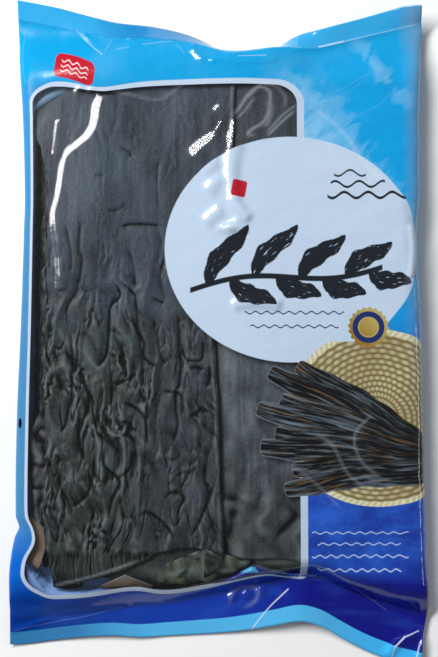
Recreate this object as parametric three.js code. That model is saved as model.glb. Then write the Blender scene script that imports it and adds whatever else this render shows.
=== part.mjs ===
// A flat pillow pack of dried kelp sheets: printed film folded round the stack at both sides and
// heat-sealed across the top and the bottom. It lies on its back. Millimetres; X runs across the
// pack, Y towards its top seal, Z up, and the origin is under the middle of its box.
import * as THREE from "three";

// Film, laid flat
const FLAT_WIDTH = 262;
const TOP_SEAL = 12.8;
const FIN_THICK = 0.8; // the two sealed films, thickened to a solid

// Stack of kelp that fills it
const PACK_THICK = 19;
const STACK_TOP = 147;
const SIDE_WRAP = 20; // film from the flat of the stack to the side fold
const KELP_SWELL = 0.9; // how far the sheets' waves lift or drop the front film

// The slope from the stack's lower end down to the bottom crease, shortest at VALLEY_X
const VALLEY_X = 58;
const SLOPE_LENGTH = 12;
const SLOPE_SPREAD = 0.12;

// Share of the full thickness at which the side folds are fully rounded
const ROUND_BY = 0.7;

// Root of the top seal at places across the pack: X, Y, Z, and the angle in degrees that the
// seal droops at. Past the middle it folds right over and hangs behind the pack.
const TOP_ROOT = [
  [-131, 191.9, 8, 0],
  [-105, 187.3, 8, 4],
  [-91, 184.2, 8.5, 12],
  [-78, 181.4, 9, 18],
  [-66, 179.6, 9.5, 26],
  [-42, 178.6, 10.5, 38],
  [-19, 175.6, 12, 53],
  [0, 170.6, 13.5, 72],
  [12, 169.3, 14.5, 90],
  [24, 170.4, 14.6, 95],
  [34, 171.8, 14.2, 88],
  [42, 172.4, 13, 64],
  [50, 172.2, 11.5, 38],
  [62, 172.2, 9.5, 10],
  [75, 175.2, 8.5, 0],
  [90, 179.3, 8, 0],
  [105, 183.3, 8, -6],
  [120, 187.3, 8, -24],
  [131, 189.4, 8, -48],
];

// Crease where the filled part meets the flat bottom margin: X, Y, Z.
const BOTTOM_CREASE = [
  [-131, -193.6, 4.2],
  [-118, -190.2, 4.2],
  [-99, -186.9, 3.4],
  [-58, -182, 3.2],
  [-34, -179.8, 3.2],
  [0, -173.2, 3.4],
  [32, -166, 5],
  [48, -162.6, 6.4],
  [60, -161.4, 6.2],
  [79, -171, 4.4],
  [105, -180, 3.4],
  [131, -187.2, 3.6],
];

// Cut edge of the bottom seal: X, Y, Z.
const BOTTOM_EDGE = [
  [-131, -205.2, 2.2],
  [-120, -204.8, 1.4],
  [-102, -202.6, 1.3],
  [-84, -200.6, 2.2],
  [-66, -199.6, 3],
  [-49, -200.8, 2.2],
  [-32, -200, 1.4],
  [0, -198.3, 1.5],
  [19, -196, 3],
  [35, -192.9, 5.6],
  [50, -190.2, 7.2],
  [63, -193.2, 5.6],
  [75, -200, 3],
  [88, -207.2, 1.5],
  [100, -212.4, 1.3],
  [116, -217.6, 2.4],
  [131, -220, 4.8],
];

// How far each side fold is drawn in from the flat width: Y, left, right.
const SIDE_DRAW = [
  [-222, -0.4, 4.6],
  [-199, 0.2, 3.4],
  [-183, 0.5, 0.5],
  [-168, 0.6, 1],
  [-153, 1.3, 2.2],
  [-137, 4.1, 2.5],
  [-131, 6.6, 2.7], // nick in the left fold
  [-124, 4.5, 2.8],
  [-63, 4.5, 3.6],
  [-13, 6.1, 3.9],
  [33, 7.3, 5.5],
  [54, 7.7, 5.8],
  [76, 8.1, 4.1],
  [128, 6.2, 3.6],
  [167, 3.2, 1.9],
  [188, 2.1, 0.9],
  [206, 1.1, 3.6],
];

// Grid lines across each stretch of film
const SIDE_CELLS = 6;
const FLAT_CELLS = 32;
const ROWS = { bottomFin: 6, bottomSlope: 8, body: 24, topSlope: 9, topFin: 4 };

const HALF_WIDTH = FLAT_WIDTH / 2;
const FLAT_HALF = HALF_WIDTH - SIDE_WRAP;

const { clamp, degToRad, lerp, smoothstep } = THREE.MathUtils;
const hump = (x, centre, width) => Math.exp(-(((x - centre) / width) ** 2));

// A smooth curve through one column of a table, at x in the table's first column.
function curve(table, column, x) {
  const last = table.length - 1;
  const slope = (i) => {
    const a = table[Math.max(i - 1, 0)];
    const b = table[Math.min(i + 1, last)];
    return (b[column] - a[column]) / (b[0] - a[0]);
  };
  let i = 0;
  while (i < last - 1 && table[i + 1][0] < x) i++;
  const span = table[i + 1][0] - table[i][0];
  const t = clamp((x - table[i][0]) / span, 0, 1);
  const rise = t * t * (3 - 2 * t);
  return (
    lerp(table[i][column], table[i + 1][column], rise) +
    span * (t * (1 - t) ** 2 * slope(i) - t * t * (1 - t) * slope(i + 1))
  );
}

// The seal lines, as functions of the place u across the flat film.
const topRootY = (u) => curve(TOP_ROOT, 1, u);
const topRootZ = (u) => curve(TOP_ROOT, 2, u);
const topAngle = (u) => degToRad(curve(TOP_ROOT, 3, u));
const bottomCreaseY = (u) => curve(BOTTOM_CREASE, 1, u);
const bottomCreaseZ = (u) => curve(BOTTOM_CREASE, 2, u);
const bottomEdgeY = (u) => curve(BOTTOM_EDGE, 1, u);
const bottomEdgeZ = (u) => curve(BOTTOM_EDGE, 2, u);
const slopeLength = (u) => SLOPE_LENGTH + SLOPE_SPREAD * Math.abs(u - VALLEY_X);
const bottomShoulderY = (u) => bottomCreaseY(u) + slopeLength(u);
const sideDraw = (u, y) => curve(SIDE_DRAW, u < 0 ? 1 : 2, y);

// Folds and dents that the film keeps round the stack: centre, reach each way, and push outwards.
const FOLDS = [
  { at: [-70, 166], reach: [34, 6], push: 1.6 }, // roll of slack film under the top seal
  { at: [18, 163], reach: [40, 5], push: 1.4 },
  { at: [84, 163], reach: [26, 7], push: -1.5 },
  { at: [-112, 160], reach: [10, 14], push: -2.2 },
  { at: [113, 158], reach: [9, 16], push: -2.0 },
  { at: [-116, -134], reach: [7, 8], push: -2.6 },
  { at: [-98, -166], reach: [16, 12], push: -2.4 },
  { at: [96, -150], reach: [26, 12], push: -1.6 },
];

function foldPush(x, y) {
  let sum = 0;
  for (const { at, reach, push } of FOLDS) {
    sum += push * hump(x, at[0], reach[0]) * hump(y, at[1], reach[1]);
  }
  return sum;
}

// Long low waves of the sheets under the film, mostly across the pack.
function kelpSwell(x, y) {
  const ridges = Math.sin(x / 17 + 0.9 * Math.sin(y / 61));
  const rolls = Math.sin(y / 37 + x / 88);
  return KELP_SWELL * (0.6 * ridges + 0.4 * rolls);
}

// The film comes in five stretches from the bottom edge to the top edge. Each gives the Y and Z of
// its front and back at u, a share s of the way along it, and the angle that the film tips over.
function bottomFin(u, s) {
  const y = lerp(bottomEdgeY(u), bottomCreaseY(u), s);
  const z = lerp(bottomEdgeZ(u), bottomCreaseZ(u), s);
  return { front: [y, z], back: [y, z], facing: 0 };
}

function bottomSlope(u, s) {
  const y = lerp(bottomCreaseY(u), bottomShoulderY(u), s);
  const low = bottomCreaseZ(u);
  const rise = Math.sin((s * Math.PI) / 2);
  return {
    front: [y, lerp(low, PACK_THICK, rise)],
    back: [y, low * (1 - s) ** 2],
    facing: 0,
  };
}

function body(u, s) {
  const y = lerp(bottomShoulderY(u), STACK_TOP, s);
  return { front: [y, PACK_THICK], back: [y, 0], facing: 0 };
}

function topSlope(u, s) {
  const bent = clamp(topAngle(u) / (Math.PI / 2), 0, 1);
  const quarter = (s * Math.PI) / 2;
  const out = lerp(s, Math.sin(quarter), bent);
  const drop = lerp(smoothstep(s, 0, 1), 1 - Math.cos(quarter), bent);
  return {
    front: [lerp(STACK_TOP, topRootY(u), out), lerp(PACK_THICK, topRootZ(u), drop)],
    back: [lerp(STACK_TOP, topRootY(u), s), topRootZ(u) * s * s],
    facing: topAngle(u) * s,
  };
}

function topFin(u, s) {
  const angle = topAngle(u);
  const y = topRootY(u) + TOP_SEAL * s * Math.cos(angle);
  const z = topRootZ(u) - TOP_SEAL * s * Math.sin(angle);
  return { front: [y, z], back: [y, z], facing: angle };
}

// The front and back points of the film at u across and s along a stretch.
function filmPoints(u, stretch, s) {
  const { front, back, facing } = stretch(u, s);
  const wrap = clamp((Math.abs(u) - FLAT_HALF) / SIDE_WRAP, 0, 1);
  const turn = (wrap * Math.PI) / 2;
  const full = (front[1] - back[1]) / PACK_THICK;
  const reach = SIDE_WRAP - sideDraw(u, front[0]);
  const rounded = smoothstep(full, 0, ROUND_BY);
  const beyond = reach * lerp(wrap, Math.sin(turn), rounded);
  const x = Math.sign(u) * (Math.min(Math.abs(u), FLAT_HALF) + beyond);
  const lift = Math.cos(turn);
  const mid = [(front[0] + back[0]) / 2, (front[1] + back[1]) / 2];
  const half = [((front[0] - back[0]) / 2) * lift, ((front[1] - back[1]) / 2) * lift];
  const skin = [(FIN_THICK / 2) * Math.sin(facing), (FIN_THICK / 2) * Math.cos(facing)];
  const push = full * lift * (foldPush(x, mid[0]) + kelpSwell(x, mid[0]));
  return {
    front: [x, mid[0] + half[0] + skin[0], mid[1] + half[1] + skin[1] + push],
    back: [x, mid[0] - half[0] - skin[0], Math.max(0, mid[1] - half[1] - skin[1])],
  };
}

// Columns across the flat film, close together round the side folds.
function columns() {
  const places = [];
  for (let i = 0; i <= SIDE_CELLS; i++) {
    places.push(-HALF_WIDTH + (SIDE_WRAP * i) / SIDE_CELLS);
  }
  for (let i = 1; i < FLAT_CELLS; i++) {
    places.push(lerp(-FLAT_HALF, FLAT_HALF, i / FLAT_CELLS));
  }
  for (let i = 0; i <= SIDE_CELLS; i++) {
    places.push(FLAT_HALF + (SIDE_WRAP * i) / SIDE_CELLS);
  }
  return places;
}

// Rows from the bottom edge to the top edge, each a stretch of film and the share along it.
function rows() {
  const stretches = [
    [bottomFin, ROWS.bottomFin],
    [bottomSlope, ROWS.bottomSlope],
    [body, ROWS.body],
    [topSlope, ROWS.topSlope],
    [topFin, ROWS.topFin],
  ];
  const list = [[bottomFin, 0]];
  for (const [stretch, count] of stretches) {
    for (let i = 1; i <= count; i++) list.push([stretch, i / count]);
  }
  return list;
}

// A closed mesh: the front and back grids, joined round their rims.
function packGeometry() {
  const across = columns();
  const along = rows();
  const positions = [];
  for (const side of ["front", "back"]) {
    for (const [stretch, s] of along) {
      for (const u of across) positions.push(...filmPoints(u, stretch, s)[side]);
    }
  }
  const nu = across.length;
  const nv = along.length;
  const at = (layer, j, i) => layer * nu * nv + j * nu + i;
  const faces = [];
  const quad = (a, b, c, d) => faces.push(a, b, c, a, c, d);
  for (let j = 0; j < nv - 1; j++) {
    for (let i = 0; i < nu - 1; i++) {
      quad(at(0, j, i), at(0, j, i + 1), at(0, j + 1, i + 1), at(0, j + 1, i));
      quad(at(1, j, i), at(1, j + 1, i), at(1, j + 1, i + 1), at(1, j, i + 1));
    }
    quad(at(1, j, 0), at(0, j, 0), at(0, j + 1, 0), at(1, j + 1, 0));
    quad(at(0, j, nu - 1), at(1, j, nu - 1), at(1, j + 1, nu - 1), at(0, j + 1, nu - 1));
  }
  for (let i = 0; i < nu - 1; i++) {
    quad(at(0, 0, i), at(1, 0, i), at(1, 0, i + 1), at(0, 0, i + 1));
    quad(at(1, nv - 1, i), at(0, nv - 1, i), at(0, nv - 1, i + 1), at(1, nv - 1, i + 1));
  }
  const geometry = new THREE.BufferGeometry();
  geometry.setAttribute("position", new THREE.Float32BufferAttribute(positions, 3));
  geometry.setIndex(faces);
  return geometry;
}

// Moves the shape so that the middle of its box is over the origin, resting on Z = 0.
function centred(geometry) {
  geometry.computeBoundingBox();
  const { min, max } = geometry.boundingBox;
  return geometry.translate(-(min.x + max.x) / 2, -(min.y + max.y) / 2, -min.z);
}

const film = new THREE.MeshStandardMaterial({ color: 0x1f7fd0, roughness: 0.2, metalness: 0 });

const pack = new THREE.Mesh(centred(packGeometry()), film);
pack.name = "kelp_pack";

const group = new THREE.Group();
group.add(pack);

export default group;
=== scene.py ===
"""Looks of a sealed pack of dried kelp sheets: printed film with a clear window, and the kelp in it.

Shapes are worked out in millimetres in the film's own coordinates, as in the part's source, and
become metres in the frame when a mesh is made. X runs across the pack, Y towards its top seal.
"""

import math

import bpy
import numpy as np
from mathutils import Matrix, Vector


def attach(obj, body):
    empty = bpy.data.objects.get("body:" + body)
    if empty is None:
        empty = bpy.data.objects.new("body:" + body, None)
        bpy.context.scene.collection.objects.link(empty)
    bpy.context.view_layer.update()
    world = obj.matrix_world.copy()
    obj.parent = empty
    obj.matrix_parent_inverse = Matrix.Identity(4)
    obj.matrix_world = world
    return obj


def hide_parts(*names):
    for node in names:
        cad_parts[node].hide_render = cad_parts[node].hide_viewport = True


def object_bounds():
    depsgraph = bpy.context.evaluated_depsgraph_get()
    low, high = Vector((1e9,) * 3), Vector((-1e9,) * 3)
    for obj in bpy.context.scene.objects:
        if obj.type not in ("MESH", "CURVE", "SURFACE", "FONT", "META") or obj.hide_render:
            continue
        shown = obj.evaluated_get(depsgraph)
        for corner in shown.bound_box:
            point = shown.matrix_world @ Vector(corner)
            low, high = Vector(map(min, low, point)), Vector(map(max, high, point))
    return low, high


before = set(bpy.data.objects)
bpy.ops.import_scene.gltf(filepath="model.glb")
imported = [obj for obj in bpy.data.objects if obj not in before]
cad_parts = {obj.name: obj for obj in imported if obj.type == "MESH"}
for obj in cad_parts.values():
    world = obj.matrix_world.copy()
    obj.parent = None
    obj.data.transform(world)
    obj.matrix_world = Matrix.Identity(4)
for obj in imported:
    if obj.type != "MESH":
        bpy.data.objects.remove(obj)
CAD_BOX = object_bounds()

MM = 0.001

# Film, laid flat, and the stack that fills it, as in the part's source
FLAT_WIDTH = 262
TOP_SEAL = 12.8
PACK_THICK = 19
STACK_TOP = 147
SIDE_WRAP = 20
KELP_SWELL = 0.9
VALLEY_X = 58
SLOPE_LENGTH = 12
SLOPE_SPREAD = 0.12
ROUND_BY = 0.7
BOXINESS = 3.2  # of the filled side folds: 2 is an ellipse
HALF_WIDTH = FLAT_WIDTH / 2
FLAT_HALF = HALF_WIDTH - SIDE_WRAP
FILM_THICK = 0.2
MIDDLE = (-0.16, -7.65)  # middle of the solid's box, in the film's coordinates

# Root of the top seal: X, Y, Z, and the angle in degrees that the seal droops at
TOP_ROOT = np.array([
    [-131, 191.9, 8, 0], [-105, 187.3, 8, 4], [-91, 184.2, 8.5, 12], [-78, 181.4, 9, 18],
    [-66, 179.6, 9.5, 26], [-42, 178.6, 10.5, 38], [-19, 175.6, 12, 53], [0, 170.6, 13.5, 72],
    [12, 169.3, 14.5, 90], [24, 170.4, 14.6, 95], [34, 171.8, 14.2, 88], [42, 172.4, 13, 64],
    [50, 172.2, 11.5, 38], [62, 172.2, 9.5, 10], [75, 175.2, 8.5, 0], [90, 179.3, 8, 0],
    [105, 183.3, 8, -6], [120, 187.3, 8, -24], [131, 189.4, 8, -48],
])

# Crease where the filled part meets the bottom margin: X, Y, Z
BOTTOM_CREASE = np.array([
    [-131, -193.6, 4.2], [-118, -190.2, 4.2], [-99, -186.9, 3.4], [-58, -182, 3.2],
    [-34, -179.8, 3.2], [0, -173.2, 3.4], [32, -166, 5], [48, -162.6, 6.4],
    [60, -161.4, 6.2], [79, -171, 4.4], [105, -180, 3.4], [131, -187.2, 3.6],
])

# Cut edge of the bottom seal: X, Y, Z
BOTTOM_EDGE = np.array([
    [-131, -205.2, 2.2], [-120, -204.8, 1.4], [-102, -202.6, 1.3], [-84, -200.6, 2.2],
    [-66, -199.6, 3], [-49, -200.8, 2.2], [-32, -200, 1.4], [0, -198.3, 1.5],
    [19, -196, 3], [35, -192.9, 5.6], [50, -190.2, 7.2], [63, -193.2, 5.6],
    [75, -200, 3], [88, -207.2, 1.5], [100, -212.4, 1.3], [116, -217.6, 2.4], [131, -220, 4.8],
])

# How far each side fold is drawn in from the flat width: Y, left, right
SIDE_DRAW = np.array([
    [-222, -0.4, 4.6], [-199, 0.2, 3.4], [-183, 0.5, 0.5], [-168, 0.6, 1], [-153, 1.3, 2.2],
    [-137, 4.1, 2.5], [-131, 6.6, 2.7], [-124, 4.5, 2.8], [-63, 4.5, 3.6], [-13, 6.1, 3.9],
    [33, 7.3, 5.5], [54, 7.7, 5.8], [76, 8.1, 4.1], [128, 6.2, 3.6], [167, 3.2, 1.9],
    [188, 2.1, 0.9], [206, 1.1, 3.6],
])

# Folds and dents of the film: centre, reach each way, and push outwards. Those at the top left and
# the left notch are shallower than the solid's.
FOLDS = [
    ((-70, 166), (34, 6), 1.0), ((18, 163), (40, 5), 1.4), ((84, 163), (26, 7), -1.5),
    ((-112, 160), (10, 14), -0.3), ((113, 158), (9, 16), -2.0), ((-116, -134), (7, 8), -0.4),
    ((-98, -166), (16, 12), -2.4), ((96, -150), (26, 12), -1.6),
]

# Where the window's pale border lies on the filled pack: X and Y of its outer line
WINDOW_TOP = np.array([
    [-120, 147.6], [-100, 148], [-91, 146.8], [-83, 144.6], [-73, 143.6], [-64, 145.4],
    [-50, 148], [-31, 149.4], [13, 150.5], [42, 149.6], [60, 149.2],
])
WINDOW_BOTTOM = np.array([
    [-120, -174.5], [-98, -175.4], [-81, -174.2], [-59, -170.4], [-49, -170], [-38, -172],
    [-27, -172], [-12, -169.8], [0, -167.3], [13, -163.7], [30, -160.8], [45, -163.4],
    [60, -164],
])

# The window as printed on the flat film: outer line of its pale border, and the clear part
WINDOW_X = (-118.9, 53.6)
WINDOW_Y = (-174, 153)
CLEAR_X = (-117.1, 49.1)
CLEAR_Y = (-171.2, 149.4)


# Thickness of the two top blades, and how far they lie below the film
BLADE_THICK = 1.2
FILM_GAP = 1.6
RIGHT_GAP = 3.4

# Where the folded corner's ridge runs
FOLD_RIDGE_X = -9

# The studio: the camera looks down on the pack, and a long key lamp stands at its upper left
CAMERA_DISTANCE = 0.7
CAMERA_TILT = math.radians(4)
CAMERA_WAY = (0, -math.sin(CAMERA_TILT), math.cos(CAMERA_TILT))
FOCAL_PIXELS = 1093.75
IMAGE_WIDTH = 438
SENSOR = 36
AIM_Y = -6.7  # millimetres, film coordinates
KEY_PLACE = (44, 140, 1.5)  # tilt from straight above, azimuth from +X to +Y, distance
FLOOR_HALF = 3.0
FLOOR_DROP = 0.0002  # metres that the floor lies below the pack
FLOOR_COLOUR = (0.96, 0.965, 0.955)


# Small helpers


def from_above(tilt, azimuth, distance):
    """A place in metres, tilted from straight above the pack, azimuth from +X to +Y."""
    tilt, azimuth = math.radians(tilt), math.radians(azimuth)
    out = distance * math.sin(tilt)
    return out * math.cos(azimuth), out * math.sin(azimuth), distance * math.cos(tilt)


def lerp(a, b, t):
    return a + (b - a) * t


def smooth(x, low, high):
    t = np.clip((x - low) / (high - low), 0, 1)
    return t * t * (3 - 2 * t)


def hump(x, centre, width):
    return np.exp(-(((x - centre) / width) ** 2))


def curve(table, column, x):
    """A smooth curve through one column of a table, at x in the table's first column."""
    xs, ys = table[:, 0], table[:, column]
    last = len(xs) - 1
    before = np.maximum(np.arange(last + 1) - 1, 0)
    after = np.minimum(np.arange(last + 1) + 1, last)
    slope = (ys[after] - ys[before]) / (xs[after] - xs[before])
    i = np.clip(np.searchsorted(xs, x) - 1, 0, last - 1)
    span = xs[i + 1] - xs[i]
    t = np.clip((x - xs[i]) / span, 0, 1)
    rise = t * t * (3 - 2 * t)
    bend = t * (1 - t) ** 2 * slope[i] - t * t * (1 - t) * slope[i + 1]
    return lerp(ys[i], ys[i + 1], rise) + span * bend


def noise(x, y, seed):
    """Smooth gradient noise, about -1 to 1, one lump to a unit, from a hash of whole numbers."""
    xi, yi = np.floor(x).astype(np.int64), np.floor(y).astype(np.int64)
    xf, yf = x - xi, y - yi

    def corner(dx, dy):
        mixed = ((xi + dx) * 374761393 + (yi + dy) * 668265263 + seed * 144269504) & 0x7FFFFFFF
        mixed = ((mixed ^ (mixed >> 13)) * 1274126177) & 0x7FFFFFFF
        turn = ((mixed >> 8) & 0xFFFF) / 65536 * 2 * math.pi
        return np.cos(turn) * (xf - dx) + np.sin(turn) * (yf - dy)

    u, v = xf**3 * (xf * (xf * 6 - 15) + 10), yf**3 * (yf * (yf * 6 - 15) + 10)
    low = lerp(corner(0, 0), corner(1, 0), u)
    high = lerp(corner(0, 1), corner(1, 1), u)
    return 1.5 * lerp(low, high, v)


CURVE_STEPS = 8  # between two given points


def along_curve(points):
    """Points close together on a smooth curve through the given ones."""
    points = np.array(points, float)
    padded = np.vstack([2 * points[0] - points[1], points, 2 * points[-1] - points[-2]])
    fine = []
    for a, b, c, d in zip(padded, padded[1:], padded[2:], padded[3:]):
        for k in range(CURVE_STEPS):
            t = k / CURVE_STEPS
            fine.append(0.5 * (2 * b + (c - a) * t + (2 * a - 5 * b + 4 * c - d) * t * t
                               + (3 * b - 3 * c + d - a) * t**3))
    fine.append(points[-1])
    return np.array(fine)


def near_curve(x, y, points, width, taper=0.25, longest=7):
    """Distance from a curve in half widths, its side (1 is left), and a fade at its ends.

    Also the half width there, and the direction across the curve to its left. The half width is a
    number, or several, evenly spaced from start to end. The fade is a share of the curve's length,
    up to the longest fade.
    """
    widths = width if isinstance(width, tuple) else (width, width)
    line = along_curve(points)
    margin = 5 * max(widths)
    low, high = line.min(0) - margin, line.max(0) + margin
    near = (x > low[0]) & (x < high[0]) & (y > low[1]) & (y < high[1])
    px, py = x[near], y[near]
    best = np.full(px.shape, 1e9)
    share, signed, left_x, left_y = (np.zeros_like(px) for _ in range(4))
    for k, (a, b) in enumerate(zip(line, line[1:])):
        run = b - a
        t = np.clip(((px - a[0]) * run[0] + (py - a[1]) * run[1]) / (run @ run + 1e-9), 0, 1)
        dx, dy = px - a[0] - t * run[0], py - a[1] - t * run[1]
        distance = np.hypot(dx, dy)
        closer = distance < best
        best = np.where(closer, distance, best)
        share = np.where(closer, (k + t) / (len(line) - 1), share)
        signed = np.where(closer, np.sign(run[0] * dy - run[1] * dx), signed)
        left_x = np.where(closer, -run[1] / np.hypot(*run), left_x)
        left_y = np.where(closer, run[0] / np.hypot(*run), left_y)
    spread = np.interp(share, np.linspace(0, 1, len(widths)), widths)
    length = np.hypot(*np.diff(line, axis=0).T).sum()
    taper = min(taper, longest / length)
    ends = smooth(share, 0, taper) * smooth(1 - share, 0, taper)
    filled = []
    for values, elsewhere in ((best / spread, 9), (signed, 0), (ends, 0), (spread, 1), (left_x, 0),
                              (left_y, 0)):
        whole = np.full(x.shape, float(elsewhere))
        whole[near] = values
        filled.append(whole)
    return filled


# The film's form, as in the part's source


def slope_length(u):
    return SLOPE_LENGTH + SLOPE_SPREAD * np.abs(u - VALLEY_X)


def side_draw(u, y):
    return np.where(u < 0, curve(SIDE_DRAW, 1, y), curve(SIDE_DRAW, 2, y))


def fold_push(x, y):
    return sum(push * hump(x, at[0], reach[0]) * hump(y, at[1], reach[1])
               for at, reach, push in FOLDS)


def kelp_swell(x, y):
    ridges = np.sin(x / 17 + 0.9 * np.sin(y / 61))
    rolls = np.sin(y / 37 + x / 88)
    return KELP_SWELL * (0.6 * ridges + 0.4 * rolls)


def bottom_fin(u, s):
    y = lerp(curve(BOTTOM_EDGE, 1, u), curve(BOTTOM_CREASE, 1, u), s)
    z = lerp(curve(BOTTOM_EDGE, 2, u), curve(BOTTOM_CREASE, 2, u), s)
    return (y, z), (y, z), 0 * u


def bottom_slope(u, s):
    y = curve(BOTTOM_CREASE, 1, u) + slope_length(u) * s
    low = curve(BOTTOM_CREASE, 2, u)
    rise = np.sin(s * math.pi / 2)
    return (y, lerp(low, PACK_THICK, rise)), (y, low * (1 - s) ** 2), 0 * u


def body(u, s):
    y = lerp(curve(BOTTOM_CREASE, 1, u) + slope_length(u), STACK_TOP, s)
    return (y, PACK_THICK + 0 * u), (y, 0 * u), 0 * u


def top_slope(u, s):
    angle = np.radians(curve(TOP_ROOT, 3, u))
    root_y, root_z = curve(TOP_ROOT, 1, u), curve(TOP_ROOT, 2, u)
    bent = np.clip(angle / (math.pi / 2), 0, 1)
    quarter = s * math.pi / 2
    out = lerp(s, np.sin(quarter), bent)
    drop = lerp(smooth(s, 0, 1), 1 - np.cos(quarter), bent)
    front = (lerp(STACK_TOP, root_y, out), lerp(PACK_THICK, root_z, drop))
    return front, (lerp(STACK_TOP, root_y, s), root_z * s * s), angle * s


def top_fin(u, s):
    angle = np.radians(curve(TOP_ROOT, 3, u))
    y = curve(TOP_ROOT, 1, u) + TOP_SEAL * s * np.cos(angle)
    z = curve(TOP_ROOT, 2, u) - TOP_SEAL * s * np.sin(angle)
    return (y, z), (y, z), angle


# Rows of the fine mesh in each stretch of film, all even, and columns round each side fold
STRETCHES = [(bottom_fin, 20), (bottom_slope, 22), (body, 232), (top_slope, 30), (top_fin, 10)]
SIDE_CELLS = 20
FLAT_CELLS = 172


def film_columns():
    step = SIDE_WRAP / SIDE_CELLS
    left = -HALF_WIDTH + step * np.arange(SIDE_CELLS)
    flat = np.linspace(-FLAT_HALF, FLAT_HALF, FLAT_CELLS + 1)
    return np.concatenate([left, flat, -left[::-1]])


def film_rows():
    rows = [(bottom_fin, 0.0)]
    for stretch, count in STRETCHES:
        rows += [(stretch, k / count) for k in range(1, count + 1)]
    return rows


def film_grids():
    """Front and back points of the smooth film, its fullness, and its print coordinates."""
    u = film_columns()
    wrap = np.clip((np.abs(u) - FLAT_HALF) / SIDE_WRAP, 0, 1)
    lift = (1 - np.sin(wrap * math.pi / 2) ** BOXINESS) ** (1 / BOXINESS)
    front, back, full, printed = [], [], [], []
    for stretch, s in film_rows():
        (fy, fz), (by, bz), facing = stretch(u, s)
        fullness = (fz - bz) / PACK_THICK
        reach = SIDE_WRAP - side_draw(u, fy)
        rounded = smooth(fullness, 0, ROUND_BY)
        beyond = reach * lerp(wrap, np.sin(wrap * math.pi / 2), rounded)
        x = np.sign(u) * (np.minimum(np.abs(u), FLAT_HALF) + beyond)
        my, mz = (fy + by) / 2, (fz + bz) / 2
        hy, hz = (fy - by) / 2 * lift, (fz - bz) / 2 * lift
        sy, sz = FILM_THICK / 2 * np.sin(facing), FILM_THICK / 2 * np.cos(facing)
        push = fullness * lift * (fold_push(x, my) + kelp_swell(x, my))
        front.append(np.stack([x, my + hy + sy, mz + hz + sz + push], -1))
        back.append(np.stack([x, my - hy - sy, np.maximum(0, mz - hz - sz)], -1))
        full.append(fullness * lift)
        printed.append(print_place(u, fy, stretch, s))
    return np.array(front), np.array(back), np.array(full), np.array(printed)


# How far to the right the print lies, at the left notch and over the lower right part
NOTCH_SHIFT = 4.9
LOWER_SHIFT = 1.2
# Distances to the cut edge: anywhere in the middle, and over the slope to the top seal
FAR_FROM_EDGE = 100
TOP_SLOPE = 40


def print_place(u, y, stretch, s):
    """Place on the flat artwork: X, Y, and the distance to the nearer cut edge along the film."""
    near_top = hump(y, 150, 16)
    near_bottom = 1 - smooth(y, -150, -105)
    px = u - NOTCH_SHIFT * hump(y, -138, 9) * hump(u, -117, 12)
    px -= LOWER_SHIFT * smooth(-y, 0, 120) * smooth(u, -40, 40)
    py = (y - (curve(WINDOW_TOP, 1, u) - WINDOW_Y[1]) * near_top
          - (curve(WINDOW_BOTTOM, 1, u) - WINDOW_Y[0]) * near_bottom)
    margin = curve(BOTTOM_CREASE, 1, u) - curve(BOTTOM_EDGE, 1, u)
    edge = {
        bottom_fin: margin * s,
        bottom_slope: margin + slope_length(u) * s,
        body: FAR_FROM_EDGE + 0 * u,
        top_slope: TOP_SEAL + TOP_SLOPE * (1 - s) + 0 * u,
        top_fin: TOP_SEAL * (1 - s) + 0 * u,
    }[stretch]
    return np.stack([px, py, edge], -1)


def film_heights(x, y):
    """Heights of the smooth back and front film over a place on the filled part of the pack."""
    low = curve(BOTTOM_CREASE, 2, x)
    s = np.clip((y - curve(BOTTOM_CREASE, 1, x)) / slope_length(x), 0, 1)
    t = np.clip((y - STACK_TOP) / (curve(TOP_ROOT, 1, x) - STACK_TOP), 0, 1)
    root = curve(TOP_ROOT, 2, x)
    front = np.minimum(lerp(low, PACK_THICK, np.sin(s * math.pi / 2)),
                       lerp(PACK_THICK, root, smooth(t, 0, 1)))
    back = low * (1 - s) ** 2 + root * t * t
    beyond = np.clip((np.abs(x) - FLAT_HALF) / (SIDE_WRAP - side_draw(x, y)), 0, 1)
    lift = (1 - beyond**BOXINESS) ** (1 / BOXINESS)
    middle, half = (front + back) / 2, (front - back) / 2
    bumps = 2 * half / PACK_THICK * lift * (fold_push(x, y) + kelp_swell(x, y))
    return middle - half * lift, middle + half * lift + bumps


# Mesh making


def quads(rows, columns, start, flip):
    """Quads of a grid of rows x columns vertices, numbered row by row from start."""
    j, i = np.meshgrid(np.arange(rows - 1), np.arange(columns - 1), indexing="ij")
    a = start + (j * columns + i).ravel()
    ring = [a, a + 1, a + columns + 1, a + columns]
    return np.stack(ring[::-1] if flip else ring, -1)


def rim(rows, columns):
    """The grid's outer vertices in order round it, anticlockwise seen from its front."""
    grid = np.arange(rows * columns).reshape(rows, columns)
    return np.concatenate([grid[0, :-1], grid[:-1, -1], grid[-1, :0:-1], grid[:0:-1, 0]])


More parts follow.
